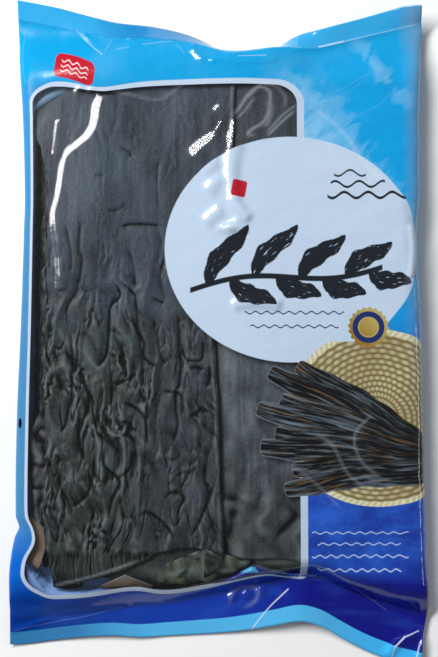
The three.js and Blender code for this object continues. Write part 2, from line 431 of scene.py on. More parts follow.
def closed_grids(name, front, back, attributes):
    """A closed mesh from a fine front grid and a back grid of half its rows and columns.

    Gives the piece, and the number of the first face of its back.
    """
    rows, columns = front.shape[:2]
    back_rows, back_columns = back.shape[:2]
    points = np.vstack([front.reshape(-1, 3), back.reshape(-1, 3)])
    start = rows * columns
    faces = [quads(rows, columns, 0, False), quads(back_rows, back_columns, start, True)]
    fine = rim(rows, columns)
    coarse = start + rim(back_rows, back_columns)
    c0, c1 = coarse, np.roll(coarse, -1)
    f0, f1, f2 = fine[0::2], fine[1::2], np.roll(fine[0::2], -1)
    triangles = np.vstack([np.stack([c0, f1, f0], -1), np.stack([c0, c1, f1], -1),
                           np.stack([c1, f2, f1], -1)])
    mesh = bpy.data.meshes.new(name)
    placed = (points - np.array([MIDDLE[0], MIDDLE[1], 0])) * MM
    polygons = [face for part in faces for face in part.tolist()] + triangles.tolist()
    mesh.from_pydata(placed.tolist(), [], polygons)
    mesh.shade_smooth()
    for key, front_values in attributes.items():
        back_values = front_values[::2, ::2]
        values = np.vstack([front_values.reshape(-1, 3), back_values.reshape(-1, 3)])
        layer = mesh.attributes.new(key, "FLOAT_VECTOR", "POINT")
        layer.data.foreach_set("vector", values.astype(np.float32).ravel())
    piece = bpy.data.objects.new(name, mesh)
    bpy.context.collection.objects.link(piece)
    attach(piece, "root")
    return piece, len(faces[0])


def grid_normals(points):
    across = np.gradient(points, axis=1)
    along = np.gradient(points, axis=0)
    normals = np.cross(across, along)
    return normals / (np.linalg.norm(normals, axis=-1, keepdims=True) + 1e-9)


def lowest_near(values, reach):
    """The lowest value of a grid within so many cells, along both axes."""
    for axis in (0, 1):
        values = np.min([np.roll(values, shift, axis) for shift in range(-reach, reach + 1)], axis=0)
    return values


# Wrinkles of the film

# Loop of slack film in the window's top right corner, and a crease beside it
SLACK_LOOP = [(8.2, 125.4), (13.3, 131.8), (18.3, 139.5), (24.7, 144.6), (31, 142.7), (32.3, 138.2),
              (31, 127.9), (27.1, 121.5), (20.8, 117.7)]
SLACK_CREASE = [(29, 112), (38.5, 121.5), (49.3, 131)]

# Folds that catch the light: a curve through these places, half width (one number, or several
# evenly spaced from start to end), how far the fold stands out, and how fully its slope is turned
# to mirror the lamp
FILM_FOLDS = [
    # long fold down the window's upper left
    ([(-75.5, 142), (-77, 135), (-78, 129), (-79, 121), (-83, 113.5), (-90, 107.3), (-97, 101),
      (-99.5, 88), (-101.3, 75.6), (-104.3, 63), (-103, 50), (-101, 36), (-100.5, 10)],
     (4.6, 3.8, 3.6, 3.2, 2.8, 2.6, 2.4, 2.2, 2.0), 0.0, 1),
    ([(-102, 125), (-103, 114), (-105, 97)], 1.5, 0.0, 1),
    ([(-93, 139.5), (-90, 143), (-87, 147)], 1.7, 0.0, 1),
    ([(-86, 138), (-83, 142), (-81, 146)], 1.6, 0.0, 1),
    ([(-60, 141), (-52, 139.4), (-44, 137), (-36, 137), (-30, 141), (-23, 147)], 1.6, 0.4, 0),
    # web of folds at the oval's upper left
    ([(-5, 129.4), (-1.6, 132), (2, 135)], 2.0, 0.0, 1),
    ([(1.4, 125), (-0.6, 120), (-3.5, 115)], 1.5, 0.0, 1),
    ([(-2, 117), (-6, 112.6), (-13, 107.5), (-21, 99.5)], (2.2, 3.8, 4.0), 0.0, 1),
    ([(8.6, 126), (6.9, 116), (5.2, 107), (3.8, 98), (4.2, 89), (5.6, 80), (6.9, 71.8),
      (11.3, 64.2), (18.6, 57)], (1.6, 2.6, 3.2, 3.0, 2.6, 2.4, 2.2, 2.2, 2.0), 0.0, 1),
    ([(-1.5, 101.5), (-6, 97.5), (-13, 90)], (2.0, 2.8), 0.0, 1),
    ([(1, 91), (-5, 85.5), (-11, 79)], (2.0, 2.8), 0.0, 1),
    ([(1.5, 70.5), (-5, 66), (-12.5, 59)], (2.2, 2.8), 0.0, 1),
    ([(13, 63.5), (6, 58), (0, 52)], 2.1, 0.0, 1),
    ([(-4, 55), (4, 57.2), (13.2, 56), (19, 53.5)], 1.4, 0.3, 0.9),
    ([(6, 8.6), (16.2, 10.8), (26.8, 11.2), (41, 8.4)], 2.0, 0.3, 0.9),
    # slack film in the window's top right corner
    (SLACK_LOOP, 1.4, 0.4, 0),
    ([(16, 114.5), (22, 113), *SLACK_CREASE], 1.4, 0.35, 0),
    # creases of the top, below the seal
    ([(-88, 183), (-82, 177.5), (-76.5, 173.3), (-69, 168)], 1.6, 0.4, 0),
    ([(-57.5, 170.5), (-54.5, 174.5), (-52, 178.5)], 1.9, 0.0, 1),
    ([(-66, 172.4), (-50, 174.4), (-30, 177)], 1.5, 0.35, 0),
    ([(2, 165.4), (9, 166.2), (17, 167.4)], 0.9, 0.2, 1),
    ([(-19, 176), (-14.7, 170), (-12.1, 164.8), (-8, 161)], 1.4, 0.4, 1),
    ([(-8, 161), (2, 163.5), (10, 160.5), (18, 161), (27, 160.5), (38, 163.5)], 1.3, 0.4, 0),
    ([(46, 170.4), (52, 171.2), (64.8, 172.5), (80.9, 176.4), (98.9, 181), (131, 189)],
     1.3, 0.5, 0),
    # creases along the bottom
    ([(-131, -197.3), (-118, -193), (-99.3, -186.3), (-87, -184.4), (-52, -181)], 1.4, 0.6, 0),
    ([(3, -176.5), (7, -173), (10, -170.6)], 1.8, 0.0, 1),
    ([(12.5, -175), (16.5, -171.5), (19, -169.6)], 1.7, 0.0, 1),
    ([(21, -172), (25.5, -169.2), (29, -167.4)], 1.6, 0.0, 1),
    ([(103, -213), (105, -208), (109, -203), (115, -199), (124, -195.5)], 2.0, 0.0, 1),
    ([(122, -215), (124, -208), (126.5, -202.5), (130, -197.5)], 1.8, 0.0, 1),
    # stiff crease of the right side
    ([(119.5, 58), (121, 46), (120.5, 34), (119, 22)], 1.5, 1.5, 0),
]

# Steepest slope that a fold takes to mirror the lamp, and steepest of the smooth form under it
STEEPEST_GLINT = 0.56
STEEPEST_FORM = 0.5

# Reach of a fold in half widths: its slope, the step that it makes, and the calm film round it
SLOPE_REACH = 1.25
STEP_REACH = 3
CALM_REACH = 2.4

# How full the pack is, as a share, where the back film stops following the front's wrinkles
SEALED_UP_TO = 0.08


def glint_slopes(x, y):
    """Slopes dz/dx and dz/dy with which the film would mirror the lamp to the camera."""
    camera = [CAMERA_DISTANCE * part / MM for part in CAMERA_WAY]
    lamp = [part / MM + offset for part, offset in zip(from_above(*KEY_PLACE), (*MIDDLE, 0))]
    half_way = np.zeros((3, *x.shape))
    for place in (camera, lamp):
        ray = np.stack([place[0] - x, place[1] - y, place[2] - PACK_THICK + 0 * x])
        half_way += ray / np.linalg.norm(ray, axis=0)
    return -half_way[0] / half_way[2], -half_way[1] / half_way[2]


def ramp_up(s):
    """Rises from -1 to 1 in a nearly straight slope that is rounded only at its ends."""
    t = np.clip(s / SLOPE_REACH, -1, 1)
    return SLOPE_REACH * t * (1 - t**4 / 5)


def film_wrinkles(x, y, full, slope_x, slope_y):
    """How far the wrinkled film stands out from its smooth form, in millimetres.

    The slopes are those of the smooth form, dz/dx and dz/dy.
    """
    glint_x, glint_y = glint_slopes(x, y)
    lamp_x, lamp_y = math.cos(math.radians(KEY_PLACE[1])), math.sin(math.radians(KEY_PLACE[1]))
    wanted = (glint_x - slope_x) * lamp_x + (glint_y - slope_y) * lamp_y
    ends = smooth(np.abs(y + 10), 110, 175)
    printed_side = smooth(x, 50, 75)
    folds, calm = np.zeros_like(x), np.ones_like(x)
    for points, width, rise, aim in FILM_FOLDS:
        away, side, fade, half, left_x, left_y = near_curve(x, y, points, width, 0.25, 4)
        facing = left_x * lamp_x + left_y * lamp_y
        slope = wanted * facing / (facing**2 + 0.01)
        slope = aim * np.clip(slope, -STEEPEST_GLINT, STEEPEST_GLINT)
        step = np.abs(slope) * half * (1 + ramp_up(np.sign(slope) * side * away))
        folds += fade * (rise * np.exp(-(away**2)) + step * np.exp(-((away / STEP_REACH) ** 4)))
        calm = np.minimum(calm, 1 - fade * np.exp(-((away / CALM_REACH) ** 4)))
    crumple = 0.5 * noise(x / 26, y / 15, 3) + 0.2 * noise(x / 11, y / 8, 4)
    slack_hem = 0.1 + 0.3 * smooth(-y, 158, 172)
    crumple *= lerp(0.3 + 0.3 * printed_side, 0.6, ends) * np.clip(full * 1.5, slack_hem, 1)
    crumple *= 1 - 0.75 * smooth(-x, 96, 112) * smooth(y, -150, -120)
    shoulder = hump(x, 119, 6) * (1 - ends)
    return folds + (crumple + 0.4 * shoulder * noise(x / 9, y / 7, 5)) * calm


# Pale stretch marks of the clear film, and one painted glint along a fold low in the window: a curve,
# half width, and strength
FILM_MARKS = [
    ([*SLACK_LOOP, (18.3, 114.5), (24.6, 113.2)], 0.9, 0.6),
    (SLACK_CREASE, 0.7, 0.6),
    ([(28.4, 113.8), (39.8, 126.6), (50, 134.3)], 0.7, 0.45),
    ([(30.6, 137), (32.6, 131), (31, 124), (28, 118)], 1.8, 0.4),
    ([(24.7, 146), (31, 146.6), (38, 143.6), (42, 137), (40, 129)], 1.0, 0.3),
    ([(16.4, 136.3), (22.8, 142.7), (27.2, 147.2)], 0.9, 0.5),
    ([(10.7, 124.1), (16.4, 129.8), (23.4, 139.5)], 0.8, 0.45),
    ([(-69, 142), (-56, 140), (-44, 137), (-36, 137), (-30, 141), (-20, 148)], 0.8, 0.25),
    # Painted glint along a fold of the film, low in the window's left half
    ([(-104, -167), (-84, -162), (-66, -156.5), (-48, -150)], 0.8, 0.45),
    ([(20, -152.5), (31, -156.5), (45, -160)], 0.8, 0.4),
    ([(96, -60), (84, -74), (88, -90), (101, -101)], 0.8, 0.16),
    ([(58, -72), (70, -80), (80, -98), (98, -112)], 0.8, 0.14),
    ([(40, -88), (60, -104), (76, -120)], 0.8, 0.12),
    ([(60, 132), (78, 116), (92, 96), (104, 84)], 1.2, 0.2),
    ([(7, -182), (8, -173), (16, -168.7), (24, -171), (22.5, -178), (13, -183.5)], 1.2, 0.16),
]


def film_marks(x, y):
    """How strong the stretch marks and the painted glint are, as an attribute's three equal parts."""
    marks = np.zeros_like(x)
    for points, width, strength in FILM_MARKS:
        away, _, fade, *_ = near_curve(x, y, points, width, 0.2)
        marks = np.maximum(marks, strength * fade * np.exp(-(away**2)))
    return np.stack([marks] * 3, -1)


def make_film():
    """The pack's film, with its wrinkles, as one closed piece with a printed back."""
    front, back, full, printed = film_grids()
    x, y = front[..., 0], front[..., 1]
    normals = grid_normals(front)
    slope_x = np.gradient(front[..., 2], axis=1) / np.gradient(x, axis=1)
    slope_y = np.gradient(front[..., 2], axis=0) / (np.gradient(y, axis=0) - 1e-6)
    slopes = [np.clip(slope, -STEEPEST_FORM, STEEPEST_FORM) for slope in (slope_x, slope_y)]
    rise = film_wrinkles(x, y, full, *slopes)
    attributes = {"print_at": printed, "marks": film_marks(x, y)}
    front = front + normals * rise[..., None]
    sealed = 1 - smooth(full, 0, SEALED_UP_TO)
    back = back + normals * (lowest_near(rise, 2) * sealed)[..., None]
    back[..., 2] = np.maximum(back[..., 2], 0)
    film, back_start = closed_grids("film", front, back[::2, ::2], attributes)
    film.data.materials.append(front_film_material())
    film.data.materials.append(back_film_material())
    for polygon in film.data.polygons[back_start:]:
        polygon.material_index = 1
    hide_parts("kelp_pack")


# Kelp

# Creases of the top blade: a curve through these places, half width, and depth
KELP_CREASES = [
    # long branching grooves in the left half
    ([(-66, 22), (-62, 13), (-68, 6), (-69, -9), (-70, -21), (-72, -27), (-77, -32)], 1.5, 2.3),
    ([(-69, -9), (-65, -9), (-60, -14)], 1.1, 0.9),
    ([(-63, 22), (-56, 17), (-52, 12)], 1.3, 1.6),
    ([(-88, -29), (-85, -39), (-83, -45), (-81, -50), (-82, -58), (-85, -66), (-87, -75),
      (-85, -91)], 1.8, 2.5),
    ([(-93, -9), (-92, -21), (-91, -30), (-88, -35)], 1.5, 1.8),
    ([(-96, -13), (-99, -20), (-103, -19)], 1.5, 1.5),
    ([(-92, -49), (-94, -58), (-96, -68), (-100, -73)], 1.6, 2.0),
    ([(-80, -47), (-79, -58), (-77, -66), (-75, -73), (-70, -77)], 1.5, 2.1),
    ([(-73, -42), (-73, -52), (-75, -62), (-74, -70)], 1.4, 1.7),
    ([(-67, -41), (-67, -50), (-68, -58)], 1.4, 1.8),
    ([(-68, -42), (-60, -41), (-55, -38), (-51, -35)], 1.4, 2.0),
    ([(-62, -53), (-54, -56), (-49, -60), (-46, -64), (-45, -73), (-44, -84)], 1.6, 1.8),
    ([(-64, -67), (-58, -66), (-54, -70), (-50, -72)], 1.4, 1.8),
    ([(-71, -81), (-71, -93), (-62, -102), (-64, -109), (-67, -116), (-68, -128)], 1.7, 2.3),
    ([(-64, -102), (-55, -94), (-54, -80)], 1.6, 2.0),
    ([(-86, -81), (-85, -88), (-88, -98)], 1.6, 1.8),
    ([(-77, -80), (-78, -97), (-81, -109), (-86, -115), (-92, -118)], 1.7, 1.9),
    ([(-62, -109), (-60, -121), (-57, -127)], 1.5, 1.6),
    ([(-101, -93), (-98, -107), (-94, -114), (-89, -126)], 1.6, 1.8),
    # long shallow furrows and loops in the right half
    ([(-51, 3), (-51, -9), (-47, -17), (-47, -25), (-42, -30), (-36, -32)], 1.8, 1.5),
    ([(-41, 3), (-39, -10), (-36, -26), (-32, -30)], 1.8, 1.2),
    ([(-26, 5), (-25, -10), (-24, -26), (-25, -42), (-27, -47), (-27, -58), (-26, -68),
      (-29, -80)], 2.0, 1.8),
    ([(-23, -13), (-22, -25), (-17, -28), (-11, -27), (-10, -21), (-10, -11)], 1.6, 1.6),
    ([(-19, -33), (-14, -32), (-9, -34)], 2.2, 1.8),
    ([(-20, -62), (-14, -61), (-11, -58), (-4, -62)], 2.0, 1.9),
    ([(-6, -30), (-6, -38), (-8, -46)], 1.4, 1.8),
    ([(-38, -46), (-27, -48), (-23, -52), (-23, -67)], 1.6, 1.3),
    ([(-46, -49), (-45, -58), (-44, -67)], 1.6, 1.2),
    ([(-25, -81), (-24, -103), (-23, -113)], 1.8, 1.0),
    ([(-9, -89), (-9, -103), (-5, -106)], 1.6, 1.6),
    ([(-4, -105), (-7, -115), (-12, -127), (-18, -138)], 1.9, 1.9),
    ([(-50, -124), (-43, -122), (-33, -130), (-26, -140)], 1.7, 1.7),
    ([(-35, -114), (-28, -109), (-22, -113), (-25, -121), (-26, -136)], 1.8, 1.5),
    # finer marks of the smoother top
    ([(-63, 56), (-56, 58), (-46, 58), (-34, 57)], 1.5, 1.7),
    ([(-72, 67), (-64, 67), (-57, 72)], 1.3, 0.9),
    ([(-38, 101), (-39, 84), (-38, 66)], 1.6, 0.9),
    ([(-42, 12), (-38, 10), (-34, 8)], 1.4, 1.3),
    ([(-79, 89), (-72, 89)], 1.2, 0.8),
    ([(-58, 44), (-54, 33), (-52, 15)], 1.5, 1.2),
    ([(-87, 62), (-88, 43), (-86, 34), (-89, 15)], 2.0, 1.7),
    ([(-97, 59), (-93, 41), (-93, 25)], 1.8, 1.4),
    ([(-64, 108), (-57, 104), (-55, 100)], 1.3, 1.0),
]


def valleys(x, y, seed, width):
    """Thin winding lines, 1 in their middle, where noise changes sign."""
    return np.exp(-((noise(x, y, seed) / width) ** 2))


def crumpled(x, y, seed):
    """A sheet folded sharply three ways, one fold to a unit, about -1 to 1."""
    def folded(place):
        return 4 * np.abs(place - np.floor(place) - 0.5) - 1

    bent = 0.5 * noise(x * 0.5, y * 0.5, seed) + 0.3 * noise(x * 1.3, y * 1.3, seed + 1)
    first = folded(x + bent)
    second = folded(0.55 * x + 0.8 * y - bent + 0.4 * noise(x * 0.7, y * 0.9, seed + 2))
    third = folded(0.6 * x - 0.7 * y + 1.4 * bent)
    share = smooth(noise(x * 0.45, y * 0.45, seed + 3), -0.35, 0.35)
    other = smooth(noise(x * 0.4, y * 0.4, seed + 4), -0.1, 0.5)
    return lerp(first, 0.7 * second, 0.75 * share) * (1 - 0.5 * other) + 0.35 * other * third


# Reach of a crease in half widths: its steep and its gentle side, its bottom, and its line of painted
# shade
STEEP_SIDE, GENTLE_SIDE = 0.9, 2.4
CREASE_BOTTOM = 0.45
SHADE_LINE = 0.55
DARKEST_FROM = 2.2  # millimetres deep


def hand_placed_creases(x, y):
    """Depth of the creases in the list, and the shade painted in them."""
    depth, dark = np.zeros_like(x), np.zeros_like(x)
    for points, width, deep in KELP_CREASES:
        away, side, fade, *_ = near_curve(x, y, points, width)
        broad = hump(away, 0, np.where(side > 0, STEEP_SIDE, GENTLE_SIDE))
        depth += 0.4 * deep * fade * (broad + 0.8 * hump(away, 0, CREASE_BOTTOM))
        shade = np.clip(deep / DARKEST_FROM, 0.35, 1) * hump(away, 0, SHADE_LINE)
        dark = np.maximum(dark, fade * shade)
    return depth, dark


def kelp_relief(x, y):
    """Depth of the top blade's folds and creases, how wrinkled it is, and its creases' painted shade."""
    # The lower part is wrinkled, its left half most, and the upper part nearly smooth
    low = smooth(-y + 26 * noise(x / 21, y / 52, 14), -62, 42)
    left = 1 - 0.5 * smooth(x, -62, -30)
    wrinkled = lerp(0.09, left, low)

    # Folds of three sizes, and creases that run along the blade, in arcs and as fine lines
    bent_x = x + 6 * noise(x / 34, y / 46, 11) + 2 * noise(x / 11, y / 21, 12)
    bent_y = y + 8 * noise(x / 22, y / 36, 13)
    patches = smooth(noise(x / 17, y / 26, 18), -0.12, 0.42)
    folds = (1.7 * crumpled(bent_x / 15, bent_y / 28, 21)
             + (0.2 + 1.0 * patches) * crumpled(bent_x / 6, bent_y / 9.5, 31)
             + 0.3 * patches * crumpled(bent_x / 2.8, bent_y / 4, 51))
    gaps = smooth(noise(x / 12, y / 24, 45), -0.25, 0.3)
    long_lines = valleys(bent_x / 9, bent_y / 44, 41, 0.05) * (0.15 + 0.85 * gaps)
    loops = valleys(bent_x / 7.5, bent_y / 17, 42, 0.06) * patches
    loops *= smooth(noise(x / 8, y / 13, 46), -0.2, 0.35)
    fine = valleys(bent_x / 3.6, bent_y / 10, 43, 0.09) * patches
    depth = 0.8 * long_lines + 0.7 * loops + 0.3 * fine - folds
    ragged = np.clip(0.8 + 0.6 * noise(x / 3.1, y / 5.3, 44), 0.3, 1)
    # Shade painted into the winding creases
    dark = ragged * np.maximum(long_lines, np.maximum(loops, 0.7 * fine))

    # Creases from the list, puckers between two of them, and pleats at the blade's lower end
    marked, marked_shade = hand_placed_creases(x, y)
    strength = lerp(0.7, 1.0, low)
    puckers = 0.5 * np.sin(y / 4.6 + 2.2 * noise(x / 15, y / 20, 61))
    puckers *= hump(x, -14, 9) * hump(y, -40, 26)
    ribs = np.abs(noise(x / 2.6 + 0.6 * noise(x / 9, y / 9, 63), y / 40, 19))
    pleated = 1 - smooth(y + 2 * noise(x / 8, 0 * y, 62), -149, -144)
    pleats = 1.6 * ribs + 0.6 * noise(x / 7, y / 14, 20) + 0.5
    depth = lerp(wrinkled * depth + strength * marked + puckers, pleats, pleated)
    depth += 1.5 + 0.35 * noise(x / 21, y / 50, 17)
    # Shade painted into the creases, and into the pleats' valleys at the blade's end
    dark = np.maximum(wrinkled * dark, strength * marked_shade)
    dark = lerp(dark, 0.9 * smooth(-ribs, -0.16, 0), pleated)
    return np.maximum(0, depth), wrinkled * (1 - pleated), dark


# Rounds of smoothing that give a point's surroundings, each set on top of the one before, and how
# much they count
SURROUNDINGS = ((3, 1.6), (14, 1.0), (70, 0.45))


def hollows(z):
    """How far each point of a grid of heights lies below its surroundings, the nearest most."""
    around = z
    depth = 0 * z
    for rounds, share in SURROUNDINGS:
        for _ in range(rounds):
            wide = np.pad(around, 1, mode="edge")
            around = (wide[2:, 1:-1] + wide[:-2, 1:-1] + wide[1:-1, 2:] + wide[1:-1, :-2]) / 4
        depth += share * (around - z)
    return depth


def even(value):
    """A function along one axis that stays at a value, or the value itself if it is a function."""
    return value if callable(value) else (lambda place: value + 0 * place)


def kelp_sheet(name, material, left, right, low, high, top, thickness, step):
    """A blade between two edges in y and two in x, its top surface a function of x, y.

    An edge is a number or a function. The top's function gives the height, how wrinkled the kelp is
    there, and the shade painted in its creases. The step is the mesh's, one for both ways or a pair.
    """
    left, right, low, high = (even(edge) for edge in (left, right, low, high))
    step_x, step_y = step if isinstance(step, tuple) else (step, step)
    middle_x, middle_y = (left(0) + right(0)) / 2, (low(0) + high(0)) / 2
    columns = 2 * int((right(middle_y) - left(middle_y)) / step_x / 2) + 1
    rows = 2 * int((high(middle_x) - low(middle_x)) / step_y / 2) + 1
    a, b = np.meshgrid(np.linspace(0, 1, columns), np.linspace(0, 1, rows))
    y = lerp(low(middle_x), high(middle_x), b)
    x = lerp(left(y), right(y), a)
    y = lerp(low(x), high(x), b)
    z, wrinkled, dark = top(x, y)
    front = np.stack([x, y, z], -1)
    back = np.stack([x, y, z - thickness], -1)[::2, ::2]
    # Hollows and the creases' shade become painted shade and highlights in the kelp's colour
    relief = np.stack([hollows(z), wrinkled + 0 * z, dark + 0 * z], -1)
    piece, _ = closed_grids(name, front, back, {"relief": relief})
    piece.data.materials.append(material)


def path(*points):
    """A function along one axis through these (place, value) pairs."""
    table = np.array(sorted(points), float)
    return lambda place: np.interp(place, table[:, 0], table[:, 1])


def wavy(value, size, period, seed):
    """A function along one axis that wanders about a value, which may itself be a function."""
    return lambda place: (even(value)(place) + size * noise(place / period, 0 * place + 0.5, seed)
                          + 0.4 * size * noise(place / period * 3.3, 0 * place + 0.3, seed + 1))


# Right edge of the top blade
MAIN_RIGHT = path((150, 11), (110, 10), (60, 4), (0, -4.5), (-55, -0.5), (-120, 2), (-150, 3))


def make_top_blades():
    """The two uppermost sheets, which fill most of the window."""
    def main_top(x, y):
        back, front = film_heights(x, y)
        room = np.maximum(front - back - FILM_GAP - 2, 0.3)
        relief, wrinkled, dark = kelp_relief(x, y)
        droop = 2.5 * hump(x, -116, 9) * hump(y, 135, 12)
        rim_ridge = 0.9 * hump(x - MAIN_RIGHT(y), -1.8, 1.5)
        depth = np.maximum(relief + droop - rim_ridge, 0)
        return front - FILM_GAP - np.minimum(depth, room), wrinkled, dark

    kelp_sheet(
        "kelp_blade_main", kelp_material("kelp_main", MAIN_TONES),
        left=wavy(path((150, -116), (131, -116), (118, -112), (100, -108), (75, -107.5), (-33, -109),
                       (-50, -107.5), (-94, -107.6), (-112, -109), (-135, -106), (-150, -103.5),
                       (-170, -103.5)), 0.7, 9, 21),
        right=wavy(MAIN_RIGHT, 0.7, 45, 23),
        low=path((-107, -168), (-94, -169.6), (-85, -168), (-83.5, -164.6), (-71, -161), (-58, -157),
                 (-47, -152), (-38, -147), (-27, -144), (-14, -143.5), (-5, -146), (4, -149)),
        high=path((-117, 131), (-108, 136), (-100, 140), (-97, 143), (-94, 146.5), (-89, 145),
                  (-85, 141.5), (-66, 141.5), (-58, 146), (-48, 150), (0, 150)),
        top=main_top, thickness=BLADE_THICK, step=(0.5, 0.96))

    def right_top(x, y):
        _, front = film_heights(x, y)
        relief = 0.5 * noise(x / 18, y / 60, 31) + 0.15 * noise(x / 7, y / 50, 32)
        folds = 1.4 * hump(x - 0.25 * (y + 115), 10, 5) * smooth(-y, 70, 110)
        folds += 0.9 * crumpled(x / 19, y / 17, 71) * smooth(-y, 70, 125)
        beside = x - MAIN_RIGHT(y)
        dive = lerp(0.9, 2.6, smooth(-y, -30, 20)) * (1 - smooth(beside, -2, 13))
        return front - RIGHT_GAP - dive - relief - folds, 0.1, 0.0

    kelp_sheet(
        "kelp_blade_right", kelp_material("kelp_right", RIGHT_TONES),
        left=wavy(-13, 1, 30, 33), right=wavy(92, 1, 40, 35),
        low=path((-14, -141), (0, -146), (10, -149), (19, -150.4), (31.5, -149.8), (44, -151),
                 (51, -153), (92, -153)),
        high=wavy(149, 0.5, 20, 37), top=right_top, thickness=BLADE_THICK, step=1.3)


# Where the stack's lower sheets end at the window's top left corner, and where all kelp ends below
CORNER_CUT = path((-124, 122), (-117, 128), (-108, 133.5), (-100, 138), (-90, 140), (92, 140))
KELP_FOOT = path((-120, -150), (-107, -168), (-94, -170), (-72, -171), (-12, -171), (5.6, -161.5),
                 (20.2, -153), (31.7, -157.4), (45.3, -160.8), (62, -160.8))

# Lower sheets: share of the stack's height, left edge in X, and that edge's lower end in Y
LAYERS = ((0.8, -110.5, -118), (0.56, -113.8, -122), (0.32, -117, -117))


def make_lower_layers():
    """Sheets of the stack whose edges show to the left of the top blades."""
    def layer_top(share, seed):
        def top(x, y):
            back, front = film_heights(x, y)
            height = lerp(back + 1.5, front - 3.5, share * (1 - 0.35 * smooth(x, -104, -90)))
            ragged = crumpled(x / 8, y / 13, seed) + 0.4 * crumpled(x / 3.5, y / 6, seed + 5)
            return height + 0.7 * ragged, 1.0, 0.0
        return top

    for number, (share, edge, end) in enumerate(LAYERS, 1):
        name = f"kelp_layer_{number}"
        left = path((150, edge + 4), (128, edge), (-108, edge), (end, edge + 2), (-160, edge + 9))
        kelp_sheet(
            name, kelp_material(name, SIDE_TONES),
            left=wavy(left, 1.5, 7, 40 + number), right=wavy(92, 1, 30, 50 + number),
            low=wavy(path((-120, -150), (-110, -158), (-100, -150), (92, -150)), 1, 14, 60 + number),
            high=CORNER_CUT, top=layer_top(share, 80 + 10 * number), thickness=1.1, step=1.6)


def small_top(gap, waves, seed, pleats=0.0):
    """Top of a small piece: how far it lies below the film, its waves, and its sharp pleats."""
    def top(x, y):
        back, front = film_heights(x, y)
        folds = pleats * crumpled(x / 11, y / 10, seed + 1) + waves * noise(x / 12, y / 10, seed)
        return np.maximum(front - gap - folds, back + 1.6), 0.5, 0.0
    return top


def folded_top(x, y):
    """Top of the folded corner, which falls away from its ridge on both sides."""
    height, wrinkled, dark = small_top(2.8, 0.3, 135, 0.9)(x, y)
    return height - 0.12 * np.abs(x - FOLD_RIDGE_X), wrinkled, dark


def make_small_pieces():
    """Ends and folds of sheets that show low on the left and along the bottom of the window.

    A near-black sheet among them paints the shade in the folded corner's valley.
    """
    def side(value, seed, size=0.3):
        return wavy(value, size, 6, seed)

    for name, tones, left, right, low, high, top in (
        ("kelp_purple_flap", FLAP_TONES,
         wavy(path((-70, -118.3), (-90, -117.6), (-126, -115)), 1.2, 8, 91), side(-104, 93),
         wavy(path((-118, -127), (-104, -136)), 1, 5, 94),
         wavy(path((-118, -74), (-110, -56), (-104, -50)), 1.2, 5, 95), small_top(5.0, 0.5, 96, 1.2)),
        ("kelp_dark_end", SIDE_TONES, side(-72, 101), side(1, 103),
         path((-72, -162), (-58, -164), (-44, -171), (-12, -171), (1, -168)),
         path((-72, -158), (-49, -148), (1, -139)), small_top(6.2, 0.5, 105)),
        ("kelp_brown_end", BROWN_TONES, side(-73, 111), side(-41, 113), -169.5,
         path((-73, -167), (-58, -160), (-42, -167)), small_top(4.8, 0.2, 115)),
        ("kelp_brown_edge", BROWN_TONES, side(-119, 121),
         path((-118, -108), (-148, -107), (-160, -112)),
         path((-119, -150), (-112, -157), (-107, -148)), path((-119, -123), (-107, -132)),
         small_top(4.2, 0.3, 125)),
        ("kelp_folded_corner", FOLD_TONES, side(-45, 131), side(20, 133),
         path((-45, -160.8), (-33.5, -168.4), (-11.8, -168.2), (5.6, -161), (20, -152.8)),
         path((-45, -159.4), (-27.3, -151.3), (-9.9, -143.9), (-8.7, -144.3), (20, -151.8)),
         folded_top),
        # A near-black sheet in the folded corner's valley, painted shade of the fold's far side
        ("kelp_fold_shade", SIDE_TONES, side(-9.4, 151, 0.2), side(0.6, 153, 0.2),
         path((-9.4, -162), (-2.5, -159), (0.6, -152.5)), path((-9.4, -144.6), (0.6, -151)),
         small_top(2.0, 0.2, 155, 0.6)),
        ("kelp_green_edge", OLIVE_TONES, side(21, 141), side(60, 143),
         path((21, -151), (26, -155), (31.7, -157.4), (45.3, -160.6), (60, -160.6)), -143,
         small_top(5.0, 0.3, 145)),
    ):
        kelp_sheet(name, kelp_material(name, tones), left, right, low, high, top, thickness=0.8, step=1.0)


def make_inside():
    """The inner face of the back film, which shows through the window past the kelp."""
    def top(x, y):
        back, front = film_heights(x, y)
        corner = smooth(y - CORNER_CUT(x), -0.5, 2.5) * smooth(-x, 78, 92)
        foot = smooth(KELP_FOOT(x) - y, 0, 3)
        raised = 0.85 * np.maximum(corner, foot)
        return lerp(back + 0.7, np.maximum(front - 1.3, back + 0.7), raised), 0.0, 0.0

    kelp_sheet("film_inside", inside_material(), -119.5, 62,
               path((-119.5, -176), (-60, -172), (0, -166), (30, -160), (62, -163)), 152,
               top, thickness=0.3, step=1.8)


# Materials


def put(tree, value, slot):
    """Links a Value or a socket to a slot, or sets the slot to a plain number or colour."""
    if isinstance(value, Value):
        value = value.socket
    if isinstance(value, bpy.types.NodeSocket):
        tree.links.new(value, slot)
    elif isinstance(value, tuple):
        slot.default_value = (*value, 1)
    else:
        slot.default_value = value


def math_node(operation):
    """A method that passes its values through a Math node."""
    return lambda self, *others: self.math(operation, *others)


